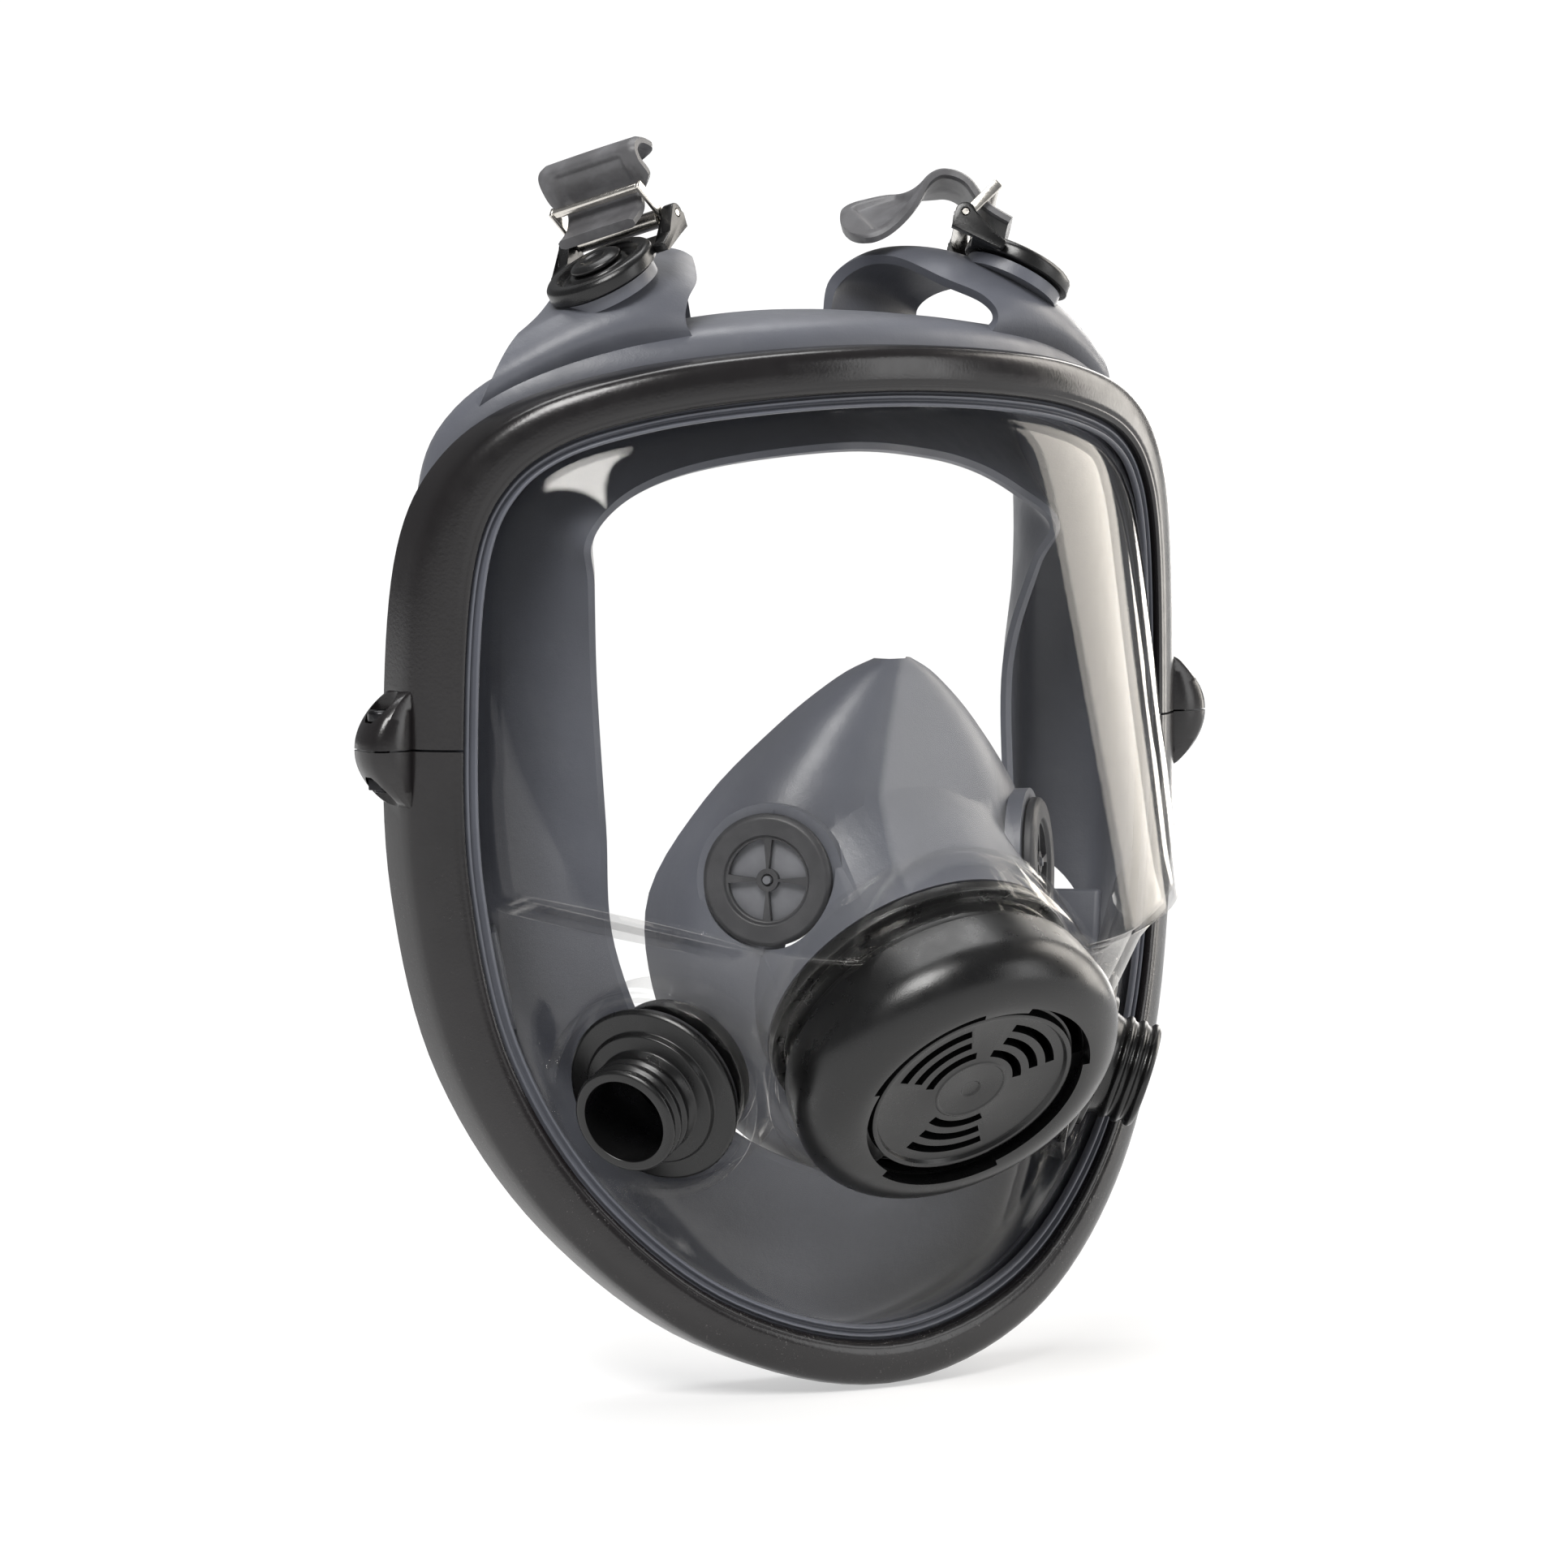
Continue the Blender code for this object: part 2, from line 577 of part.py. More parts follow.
def visor_lens(curve):
    """The one-piece lens, with a seat moulded in for the exhalation unit and one for each inlet."""
    lens = add_object("visor_lens", lens_shell(curve), "clear_lens")
    boss_frame = unit_frame() @ Matrix.Translation((0, -2.5, 0))
    boss = slanted(38.5, -19, -8.05, (0, -0.21), (0, -0.0975))
    boolean(lens, add_object("visor_lens_boss", boss, matrix=boss_frame), "UNION", THIN_SOLVER)
    cuts = [(unit_frame(), cut) for cut in ((32.1, -60, 20), (33.4, SEAT_LEVEL, 20), (37.1, SEAT_LEVEL + 2.7, 20),
                                            (34.9, -60, SEAT_LEVEL - 4))]
    for side_name, side in SIDES.items():
        pad = slanted(23, -11.5, 1, (0.184 * side, 0.067), (0.16 * side, -0.068), 26)
        boolean(lens, add_object("visor_lens_pad_" + side_name, pad, matrix=port_frame(side)), "UNION", THIN_SOLVER)
        cuts += [(port_frame(side), cut) for cut in ((13, -40, 20), (21, -3, 20), (17, -40, -8.2))]
    for k, (place, (radius, low, high)) in enumerate(cuts):
        cutter = add_object("visor_lens_cut_" + str(k), cylinder(radius, low, high, 20 + 2 * (k % 3)), matrix=place)
        boolean(lens, cutter, solver=THIN_SOLVER)


def arc_slot(inner, outer, start, stop, low, high, steps=8):
    """A cutter along an arc about Z, with its angles in degrees."""
    rings = []
    for k in range(steps + 1):
        a = math.radians(start + (stop - start) * k / steps)
        rings.append([(r * math.cos(a), r * math.sin(a), h)
                      for r, h in ((inner, low), (outer, low), (outer, high), (inner, high))])
    return loft(rings)


def join_cutters(name, cutters, matrix):
    """One guide object from several separate cutters."""
    bm = bmesh.new()
    for cutter in cutters:
        mesh = bpy.data.meshes.new(name)
        bmesh.ops.recalc_face_normals(cutter, faces=cutter.faces)
        cutter.to_mesh(mesh)
        cutter.free()
        bm.from_mesh(mesh)
    return add_object(name, bm, matrix=matrix)


def front_cover(place):
    """The ring-shaped cover with its pierced middle."""
    profile = [(0, GRILLE_LEVEL), (21.4, GRILLE_LEVEL), (21.8, GRILLE_LEVEL + 0.9), (22.9, GRILLE_LEVEL + 0.9),
               (23.3, GRILLE_LEVEL - 1.2), (26.8, GRILLE_LEVEL - 1.2)]
    crest = [(26.9 + 9.6 * math.sin(a), 1.4 + 9.8 * math.cos(a)) for a in
             [math.radians(d) for d in (-12, 15, 45, 75, 100)]]
    inside = [(33.6, -8.4), (34, 0), (31.6, 6), (26.9, GRILLE_LEVEL - 3.4), (0, GRILLE_LEVEL - 3.4)]
    cover = add_object("front_cover", lathe(profile + crest + [(35.6, -6), (35, -8.4)] + inside, 30),
                       "black_plastic", place)
    cutters = []
    for middle in SECTOR_ANGLES:
        for inner, outer in SECTOR_RINGS:
            spread = SECTOR_SPREAD + 6 * (outer < 15)
            cutters.append(arc_slot(inner, outer, middle - spread, middle + spread, -2, 14, 2))
        cutters.append(arc_slot(*OUTER_SLOT, middle - 33, middle + 33, -2, 14, 3))
    return boolean(cover, join_cutters("front_cover_slots", cutters, place))


def exhalation_unit():
    """The housing through the lens and what it holds, from the nose cup out to the cover."""
    place = unit_frame()
    housing = [(31.4, 1.6), (31.4, -9), (33, -9), (33, -11.3), (31.4, -11.3), (31.4, -23), (28.6, -23),
               (28.6, -13), (27, -13), (27, -11.5), (28.6, -11.5), (28.6, 1.6)]
    add_object("exhalation_housing", lathe(housing, 28), "black_plastic", place)
    nut = lathe([(31.7, -16), (34.4, -16), (34.4, -18.6), (31.7, -18.6)], 28)
    add_object("housing_nut", nut, "black_plastic", place)
    seat = lathe([(2, -9.2), (15.4, -9.2), (15.4, -8.2), (17.4, -8.2), (17.4, -9.2), (28.3, -9.2),
                  (28.3, -11.2), (2, -11.2)], 22)
    seat = add_object("exhalation_valve_seat", seat, "black_plastic", place)
    holes = [arc_slot(5.5, 14.2, 60 * k + 6, 60 * k + 54, -13, -5, 2) for k in range(6)]
    boolean(seat, join_cutters("exhalation_seat_holes", holes, place))
    flap = lathe([(0, -6.4), (2.4, -6.8), (18.6, -6.8), (18.6, -7.9), (1.6, -7.9), (1.6, -12.4), (0, -12.4)], 24)
    add_object("exhalation_flap", flap, "flap_silicone", place)
    frame = lathe([(17.6, -1.2), (17.6, -3), (19.2, -3), (19.2, 0.9), (17.6, 0.9), (17.6, 0.1), (18.3, 0.1),
                   (18.3, -1.2)], 28)
    frame = add_object("speech_frame", frame, "black_plastic", place)
    legs = [box((18.6, -2, -2.8), (28.2, 2, -0.8)) for _ in range(3)]
    for k, leg in enumerate(legs):
        bmesh.ops.rotate(leg, cent=(0, 0, 0), matrix=Matrix.Rotation(math.radians(120 * k + 80), 3, "Z"),
                         verts=leg.verts)
    boolean(frame, join_cutters("speech_frame_legs", legs, place), "UNION")
    rise = [(17.9 * (1 - k / 4), -0.2 - 0.9 * (1 - (1 - k / 4)**2)) for k in range(5)]
    film = [(r, h) for r, h in rise[:-1]] + [(0, rise[-1][1]), (0, rise[-1][1] - 0.5)] + \
           [(r, h - 0.5) for r, h in rise[:-1][::-1]]
    add_object("speech_diaphragm", lathe(film, 24), "steel", place)
    front_cover(place)


def inlet(side_name, side):
    """One cartridge inlet: threaded connector, gasket, nut, and the valve behind it."""
    place = port_frame(side)
    thread = []
    height = TUBE_LENGTH
    while height > THREAD_END:
        thread += [(TUBE_RADIUS, height - 0.6), (TUBE_RADIUS, height - 1.4), (TUBE_RADIUS - 0.8, height - 2),
                   (TUBE_RADIUS - 0.8, height - 2.8)]
        height -= THREAD_PITCH
    profile = [(TUBE_BORE, TUBE_LENGTH), (TUBE_RADIUS - 0.6, TUBE_LENGTH), *thread, (TUBE_RADIUS, 2.8), (14.6, 2.4),
               (15, 0.9), (PORT_FLANGE_RADIUS - 0.6, 0.7), (PORT_FLANGE_RADIUS, 0), (PORT_FLANGE_RADIUS, -1),
               (12.6, -1), (12.6, -13.2), (10.6, -13.2), (10.6, -8.6), (TUBE_BORE, -8.6)]
    add_object("inlet_connector_" + side_name, lathe(profile, 20), "black_plastic", place)
    gasket = lathe([(13, -1.3), (18.8, -1.3), (18.8, -2.7), (13, -2.7)], 24)
    add_object("inlet_gasket_" + side_name, gasket, "gasket_rubber", place)
    nut = lathe([(13.1, -9), (16.4, -9), (16.4, -12.6), (13.1, -12.6)], 24)
    add_object("inlet_nut_" + side_name, nut, "black_plastic", place)
    seat = lathe([(1.4, -9), (10.3, -9), (10.3, -10.8), (1.4, -10.8)], 18)
    seat = add_object("inhalation_seat_" + side_name, seat, "black_plastic", place)
    holes = [arc_slot(3, 8, 90 * k + 9, 90 * k + 81, -12, -8, 2) for k in range(4)]
    boolean(seat, join_cutters("inhalation_holes_" + side_name, holes, place))
    flap = lathe([(0, -8.4), (1.1, -8.4), (1.1, -11.1), (9.6, -11.1), (9.6, -12), (0, -12)], 20)
    add_object("inhalation_flap_" + side_name, flap, "flap_silicone", place)


def cup_rows():
    """Rows of points over the nose cup, from the bridge of the nose down to the chin."""
    sections = CUP_SECTIONS
    heights = []
    for k in range(len(sections) - 1):
        four = [sections[max(0, min(len(sections) - 1, k + o))] for o in (-1, 0, 1, 2)]
        for s in range(CUP_STEPS):
            heights.append([catmull(*values, s / CUP_STEPS) for values in zip(*four)])
    heights.append(list(sections[-1]))
    rows = []
    for z, half, rim, front in heights:
        row = []
        for k in range(CUP_COLUMNS + 1):
            a = math.pi * (k / CUP_COLUMNS - 0.5)
            across = math.copysign(abs(math.sin(a))**0.72, a)
            depth = abs(math.cos(a))**0.62
            ridge = 1.6 * (1 - abs(across))
            row.append(Vector((half * across, rim - (rim - front - ridge) * depth - ridge, z)))
        rows.append(row)
    return rows


def cup_valve_frame(side):
    return frame_at(mirrored(CUP_VALVE, side), mirrored(CUP_VALVE_AXIS, side))


def nose_cup():
    cup = add_object("nose_cup", shell(cup_rows(), CUP_THICKNESS), "seal_silicone")
    collar = slanted(34.4, *COLLAR_LEVELS, (0, COLLAR_SLOPE), (0, 0), 26)
    boolean(cup, add_object("nose_cup_collar", collar, matrix=unit_frame()), "UNION", THIN_SOLVER)
    boolean(cup, add_object("nose_cup_bore", cylinder(31.9, -60, 20, 30), matrix=unit_frame()), solver=THIN_SOLVER)
    boolean(cup, add_object("nose_cup_room", cylinder(35.4, -18.95, 20, 26), matrix=unit_frame()), solver=THIN_SOLVER)
    for side_name, side in SIDES.items():
        place = cup_valve_frame(side)
        pad = add_object("nose_cup_pad_" + side_name, cylinder(CUP_VALVE_RADIUS + 2, -5, -1.6, 20), matrix=place)
        boolean(cup, pad, "UNION", THIN_SOLVER)
        face = add_object("nose_cup_face_" + side_name, cylinder(CUP_VALVE_RADIUS + 0.6, -1.6, 12, 22), matrix=place)
        boolean(cup, face, solver=THIN_SOLVER)
        hole = add_object("nose_cup_hole_" + side_name, cylinder(10.8, -20, 12, 18), matrix=place)
        boolean(cup, hole, solver=THIN_SOLVER)


def cup_valve(side_name, side):
    """A check valve in one cheek of the nose cup: a ring with a cross, and the flap behind it."""
    place = cup_valve_frame(side)
    ring = lathe([(1.2, 0.2), (9, 0.2), (9.4, 1.2), (CUP_VALVE_RADIUS - 1, 1.2), (CUP_VALVE_RADIUS, 0.4),
                  (CUP_VALVE_RADIUS, -1.2), (10.3, -1.2), (10.3, -6.2), (9.4, -6.2), (9.4, -1.2), (1.2, -1.2)], 18)
    ring = add_object("cup_valve_ring_" + side_name, ring, "gasket_rubber", place)
    holes = [arc_slot(2.4, 8.2, 90 * k + 11, 90 * k + 79, -4, 4, 2) for k in range(4)]
    boolean(ring, join_cutters("cup_valve_holes_" + side_name, holes, place))
    flap = lathe([(0, 0.8), (0.9, 0.8), (0.9, -1.5), (8.8, -1.5), (8.8, -2.3), (0, -2.3)], 20)
    add_object("cup_valve_flap_" + side_name, flap, "flap_silicone", place)


def buckle(name, foot, stud, strap, side):
    """A strap buckle: stud, swivelling base, roller frame that hinges on the base, roller and strap tail."""
    place = frame_at(mirrored(foot, side), mirrored(stud, side), mirrored(strap, side))
    post = lathe([(0, 5.8), (4.4, 5.8), (5.8, 5), (5.8, 4.2), (3.6, 4.2), (3.6, 0.3), (0, 0.3)], 12)
    add_object(name + "_stud", post, "black_plastic", place)
    ring = lathe([(3.9, 3.8), (6.4, 3.8), (7, 2.8), (8.6, 2.8), (9.4, 4.2), (11.4, 4.2), (12.3, 3.2), (12.3, 0.6),
                  (3.9, 0.6)], 16)
    base = add_object(name + "_base", ring, "black_plastic", place)
    for hand in (-1, 1):
        ear = box((hand * 13.2 - 1.4, 4, 0.7), (hand * 13.2 + 1.4, 17, 7))
        boolean(base, add_object("{}_ear_{}".format(name, "a" if hand < 0 else "b"), ear, matrix=place), "UNION")
    boolean(base, add_object(name + "_bridge", box((-13, 5, 0.7), (13, 11.4, 2.6)), matrix=place), "UNION")
    pivot = place @ Matrix.Translation((0, 14.8, 4.8)) @ Matrix.Rotation(math.radians(20), 4, "X")
    cross = add_object(name + "_pin_hole", cylinder(1.0, -20, 20, 10),
                       matrix=pivot @ Matrix.Rotation(math.pi / 2, 4, "Y"))
    boolean(base, cross)
    bars = add_object(name + "_frame", box((-11, -0.9, 8.6), (11, 0.9, 10.6)), "steel", pivot)
    for hand in (-1, 1):
        arm = box((hand * 11 - 0.5, -1.2, -1.2), (hand * 11 + 0.5, 1.2, 10.6))
        boolean(bars, add_object("{}_arm_{}".format(name, "a" if hand < 0 else "b"), arm, matrix=pivot), "UNION")
    pin = cylinder(0.7, -14.6, 14.6, 10)
    boolean(bars, add_object(name + "_pin", pin, matrix=pivot @ Matrix.Rotation(math.pi / 2, 4, "Y")), "UNION")
    roller = lathe([(1.1, 10.2), (2, 10.2), (2, -10.2), (1.1, -10.2)], 14)
    add_object(name + "_roller", roller, "steel", pivot @ Matrix.Rotation(math.pi / 2, 4, "Y"))


def strap(name, side, path, twist=0):
    """The free end of a strap: a ribbon through the roller frame that widens into a pull tab.

    Each place on the path is (local y, local z, half width) in the buckle's own frame. The tab is turned by
    twist degrees about the path."""
    place = frame_at(mirrored(UPPER_BUCKLE, side), mirrored(UPPER_STUD, side), mirrored(UPPER_STRAP, side))
    rings = []
    for k, (y, z, half) in enumerate(path):
        before = path[max(k - 1, 0)]
        after = path[min(k + 1, len(path) - 1)]
        along_strap = Vector((after[0] - before[0], after[1] - before[1])).normalized()
        turn = math.radians(twist) * smooth_step(0.4, 0.8, k / (len(path) - 1))
        out = Vector((0, -along_strap.y, along_strap.x))
        wide = (Vector((1, 0, 0)) * math.cos(turn) + out * math.sin(turn)) * half
        thick = (out * math.cos(turn) - Vector((1, 0, 0)) * math.sin(turn)) * STRAP_THICKNESS / 2
        middle = Vector((0, y, z))
        rings.append([middle + thick - wide, middle + thick + wide, middle - thick + wide, middle - thick - wide])
    return add_object(name, loft(rings), "strap_rubber", place)


def main():
    for old in list(bpy.data.objects):
        bpy.data.objects.remove(old)
    curve = ring_curve(OUTLINE)
    clamp_half("upper_lens_clamp", curve, upper=True)
    clamp_half("lower_lens_clamp", curve, upper=False)
    clamp_fasteners()
    visor_lens(curve)
    face_seal(curve)
    exhalation_unit()
    nose_cup()
    for side_name, side in SIDES.items():
        inlet(side_name, side)
        cup_valve(side_name, side)
        buckle("upper_buckle_" + side_name, UPPER_BUCKLE, UPPER_STUD, UPPER_STRAP, side)
        buckle("lower_buckle_" + side_name, LOWER_BUCKLE, LOWER_STUD, LOWER_STRAP, side)
    strap("upper_strap_right", 1, RIGHT_STRAP, RIGHT_STRAP_TWIST)
    strap("upper_strap_left", -1, LEFT_STRAP)


main()
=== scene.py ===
"""Looks of the full face respirator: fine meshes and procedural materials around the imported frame.

Lengths are millimetres until a piece is made, when MM turns them into metres. The axes are the frame's own:
the respirator faces -Y, +X is to the right seen from the front and +Z is up.
"""

import json
import math

import bmesh
import bpy
from mathutils import Matrix, Vector


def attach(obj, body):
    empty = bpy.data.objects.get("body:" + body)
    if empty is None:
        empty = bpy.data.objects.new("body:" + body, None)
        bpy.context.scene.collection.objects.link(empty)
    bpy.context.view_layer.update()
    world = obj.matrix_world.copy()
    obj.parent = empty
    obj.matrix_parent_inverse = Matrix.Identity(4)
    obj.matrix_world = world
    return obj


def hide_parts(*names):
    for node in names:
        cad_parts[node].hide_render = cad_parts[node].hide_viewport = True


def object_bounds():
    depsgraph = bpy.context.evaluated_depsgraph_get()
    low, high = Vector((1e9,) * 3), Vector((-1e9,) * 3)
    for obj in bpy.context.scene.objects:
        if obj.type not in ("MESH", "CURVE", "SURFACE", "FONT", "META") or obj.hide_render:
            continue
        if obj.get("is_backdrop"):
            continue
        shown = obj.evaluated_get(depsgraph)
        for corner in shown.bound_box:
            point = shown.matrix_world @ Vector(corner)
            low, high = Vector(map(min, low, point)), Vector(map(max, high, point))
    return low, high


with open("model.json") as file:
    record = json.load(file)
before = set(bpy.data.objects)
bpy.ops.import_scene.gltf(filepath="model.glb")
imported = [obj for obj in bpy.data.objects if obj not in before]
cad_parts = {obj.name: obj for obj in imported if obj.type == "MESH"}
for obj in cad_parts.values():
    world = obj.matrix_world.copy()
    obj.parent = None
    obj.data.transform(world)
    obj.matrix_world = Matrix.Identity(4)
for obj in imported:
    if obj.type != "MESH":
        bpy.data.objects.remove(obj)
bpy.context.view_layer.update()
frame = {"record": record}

MM = 0.001
SIDES = {"right": 1, "left": -1}

# Lens outline: the outer edge of the clamp, right half, from the forehead down to the chin (x, z).
OUTLINE = [(0, 110), (30, 108.6), (55, 105), (75, 98.2), (88, 86.5), (95, 68),
           (97.3, 35), (96.3, -5), (88.5, -44), (70, -77), (40, -102), (0, -112.5)]
# Rearmost rim of the face seal and the edge of its face opening, matched to OUTLINE point by point (x, y, z).
SEAL_RIM = [(0, 60, 114), (22, 60, 112), (40, 58, 107), (55, 57, 100), (66, 58, 90), (72, 62, 72),
            (75.5, 66, 40), (74, 65, 4), (66, 58, -28), (52, 46, -56), (30, 34, -80), (0, 28, -91)]
FACE_OPENING = [(0, 20, 88), (22, 26, 86), (38, 30.5, 82.5), (50, 32, 77), (58.5, 29.5, 69.5), (56, 33.5, 60),
                (52.5, 39, 38), (51.5, 37, 8), (51, 34, -18), (43, 25, -44), (25, 17.5, -61),
                (0, 13.5, -68.5)]
STEPS_PER_KEY = 8

# The outline is wrapped on an upright cylinder, so its sides lie further back than its middle.
WRAP_RADIUS = 150
WRAP_FRONT = 2

# Lens clamp: a C-shaped section around the edge of the lens, n outward from OUTLINE and y backward.
CLAMP_SECTION = [(0, 4), (-0.5, 1.7), (-1.5, 0.75), (-2.8, 0.25), (-4.6, 0), (-7.3, 0), (-8.2, 0.35),
                 (-8.6, 0.35), (-9.6, 0.9), (-10, 3.2), (-3, 3.2), (-3, 10.6), (-8.8, 10.6), (-8.8, 12.6),
                 (-1, 12.6), (0, 11.5)]
CLAMP_ROUND = 0.5
SEAM_Z = 26
SEAM_GAP = 0.5
LUG_BACK = 7
LUG_HALF_DEPTH = 6
LUG_HEIGHT = 12.5
LUG_FOOT_X = 95.2
LUG_END_X = 96.4
LUG_SWELL = 9.6
SCREW_X = 101
SCREW_SEAT = 6

# Face seal: the bead that holds the lens, with two fine grooves in its lip, and the wall behind it.
BEAD_FRONT = [(-5.2, 4.9), (-13, 4.9), (-13, 3.3), (-12.6, 2.7), (-12.2, 2.7), (-12, 4), (-11.3, 4),
              (-11.1, 2.5), (-10.6, 2.4), (-10.4, 3.5), (-3.3, 3.5), (-3.3, 10.3)]
BEAD_BACK = [(-12.8, 9), (-12.6, 8.2), (-5.2, 8.2)]
WALL_THICKNESS = 2.4
WALL_START = (-10.6, 10.4)
WALL_THROAT = (-10.6, 14.4)
WALL_STEPS = 8
CLAMP_ROOM = [(0.8, -3), (-3.1, -3), (-3.1, 10.35), (-9.1, 10.35), (-9.1, 12.9), (0.8, 12.9)]

# Lens: a window that bulges inside a flat rim. Its corners and its ledge are at stations of the outline.
LENS_EDGE = -5.6
LENS_SEAT = 5.2
LENS_THICKNESS = 2
LENS_WINDOW = -13.4
TOP_CORNER = 3.3 * STEPS_PER_KEY
BOTTOM_CORNER = 8.8 * STEPS_PER_KEY
LEDGE_STATION = 7 * STEPS_PER_KEY
LENS_TOP_Z = 96.6
LEDGE_Z = -18
LEDGE_DROP = 2.6
UPPER_BULGE = 42
SEAT_LEVEL = -11.6
LENS_COLUMNS = 56
LENS_UPPER_ROWS = 24
LENS_LOWER_ROWS = 24
LENS_EDGE_RADIUS = 0.002

# Voice and exhalation unit, on one axis that points forward and down out of the chin.
UNIT_CENTRE = (0, -21.5, -39)
UNIT_TILT = 39
# Seats moulded in the lens: radius, back, front, and how the back and the front slope along local x and y.
UNIT_BOSS = (38.5, -19, -8.05, (0, -0.21), (0, -0.0975))
BOSS_SHIFT = -2.5
GRILLE_LEVEL = 8.6
SECTOR_ANGLES = (50, 140, 270)
SECTOR_SPREAD = 29
SECTOR_RINGS = ((9.6, 11.6), (13.4, 15.4), (17.2, 19.2))
OUTER_SLOT = (23.9, 26.4)

# Inlets
PORT_CENTRE = (54.8, 9.8, -46.3)
PORT_AXIS = (0.815, -0.49, -0.31)
PORT_FLANGE_RADIUS = 19.5
PORT_PAD = (23, -11.5, 1, (0.184, 0.067), (0.16, -0.068))
TUBE_RADIUS = 11.6
TUBE_BORE = 9.2
TUBE_LENGTH = 13.3
THREAD_PITCH = 2.9
THREAD_END = 5

# Nose cup sections: z, half width, y of the rim, y of the front.
CUP_SECTIONS = [(44, 4, 4, 0), (40, 11, 7.5, -2), (30, 22, 13.5, -4.6), (14, 35, 22, -7.2),
                (-6, 45, 28.5, -8.6), (-26, 44, 29, -3), (-44, 36.5, 27, 5.5), (-58, 25, 25.5, 14.5),
                (-67, 12, 24.5, 19.5)]
CUP_THICKNESS = 2.2
CUP_STEPS = 5
CUP_COLUMNS = 48
CUP_VALVE = (34, -2.2, -1)
CUP_VALVE_AXIS = (0.74, -0.67, 0.05)
CUP_VALVE_RADIUS = 14
# The collar that joins the cup to the exhalation housing is longer at its top than at its bottom.
COLLAR_LEVELS = (-34, -19)
COLLAR_SLOPE = -0.4

# Buckles: the stud's foot on the seal, the direction the stud points in and the direction of the strap.
UPPER_BUCKLE = ((51.4, 35.3, 123.6), (0.5, 0, 0.866), (-0.72, 0.545, 0.42))
LOWER_BUCKLE = ((61, 68, -26), (0.87, 0.45, -0.2), (-0.46, 0.886, -0.05))
# In the frame of its buckle: the ears stand at EAR_X each side, and the pin through them is at this y and z.
EAR_X = 13.2
EAR_PIN = (14.8, 4.8)
EAR_ROUND = 2.2
EAR_HALF_THICKNESS = 1.4
FRAME_LEAN = 20

# Strap ends in the frame of their buckle: local y, local z, half width.
STRAP_THICKNESS = 2.2
STRAP_STEPS = 12
STRAP_ACROSS = 40
TAB_ROUND = 5
RECESS_DEPTH = 1.2
RIGHT_STRAP = [(5.5, 8.6, 9.6), (12, 9.5, 9.6), (17.8, 12.6, 9.6), (22.4, 12.4, 9.6), (26, 9.6, 10.5),
               (29, 5.1, 12.4), (33, -0.9, 12.4), (36.4, -5, 12.4), (38.2, -6.8, 12.4)]
RIGHT_STRAP_TWIST = 34
LEFT_STRAP = [(5.5, 8.6, 9.6), (11.2, 9.2, 9.6), (14.6, 11.8, 9.6), (15.2, 14.6, 12.4), (14.4, 18.8, 12.4),
              (15.4, 21.2, 12.4), (18.8, 21.2, 12.4), (22.8, 17.4, 12.4), (24.2, 15, 12.4)]

# Temple arches: points across each strap arch (inner foot, crest, outer foot), from front to rear.
ARCH_SECTIONS = [
    ((34, 23.6, 108), (60, 32, 103.5), (80, 45, 90)), ((39, 22.5, 114.5), (58, 26.5, 112), (78.5, 38, 101)),
    ((37.2, 25, 119.6), (54, 28, 119), (73, 38.5, 110)), ((31, 32, 123.6), (47, 34, 125), (64.5, 42, 117)),
    ((25.5, 43, 128), (38, 44, 129.6), (55, 51, 123)), ((21, 52, 127.5), (31, 54, 128.8), (47, 60, 121.5)),
    ((18, 59, 122), (28, 62, 122.5), (43, 65, 115.5)),
    ((17, 59.5, 111.5), (28, 60.5, 110.5), (41, 60, 105.5))]
ARCH_ACROSS = 24
ARCH_BETWEEN = 8

TURN_STEPS = 96

# Plain surfaces: name, patches (scale, detail, roughness), their span, two colours, grain, its depth and
# strength, roughness from the first colour to the second, and how metallic they are.
MOTTLED = [
    ("gasket_rubber", (120, 5, 0.65), (0.4, 0.75), ((0.030, 0.030, 0.033), (0.052, 0.052, 0.056)),
     (2200, 3), 0.00006, 0.5, (0.45, 0.6)),
    ("flap_silicone", (160, 4), (0.3, 0.7), ((0.115, 0.118, 0.13), (0.15, 0.153, 0.168)),
     (1800, 3), 0.00005, 0.4, (0.4, 0.5)),
    ("black_steel", (700, 4), (0.55, 0.75), ((0.02, 0.02, 0.022), (0.06, 0.06, 0.061)),
     (1500, 3), 0.00004, 0.4, (0.3, 0.45), 0.8),
    ("strap_rubber", (140, 5, 0.65), (0.42, 0.7), ((0.075, 0.074, 0.078), (0.115, 0.115, 0.122)),
     (1800, 3, 0.6), 0.00008, 0.5, (0.42, 0.55))]

# Studio, in metres: each soft light's name, place, width, height, power and tint.
LIGHTS = [("key_light", (-1.3, -1.1, 1.7), 1.1, 1.0, 58, (1, 0.99, 0.975)),
          ("side_light", (1.15, -0.02, 0.3), 0.55, 1.3, 13, (1, 0.95, 0.88)),
          ("rim_light", (0.95, 0.75, 0.3), 0.3, 1.2, 6, (1, 0.97, 0.93)),
          ("top_light", (0.0, 0.5, 1.6), 1.4, 0.8, 18, (1, 1, 1)),
          ("front_light", (1.1, -1.6, 0.5), 0.8, 1.2, 8, (1, 1, 1))]
LIGHTS_AIM = (0, 0.02, 0)
WHITE_GLOW = 1.08
DIM_WORLD = 0.22
FLOOR_HALF = 6
FLOOR_GAP = 0.0005
FLOOR_FADE = (0.10, 0.42)
FLOOR_GLOW = 0.45
CAMERA_PLACE = (-0.7177, -1.1467, 0.1475)
CAMERA_DIRECTION = (0.5127, 0.8532, -0.0958)
CAMERA_LENS = 147.2


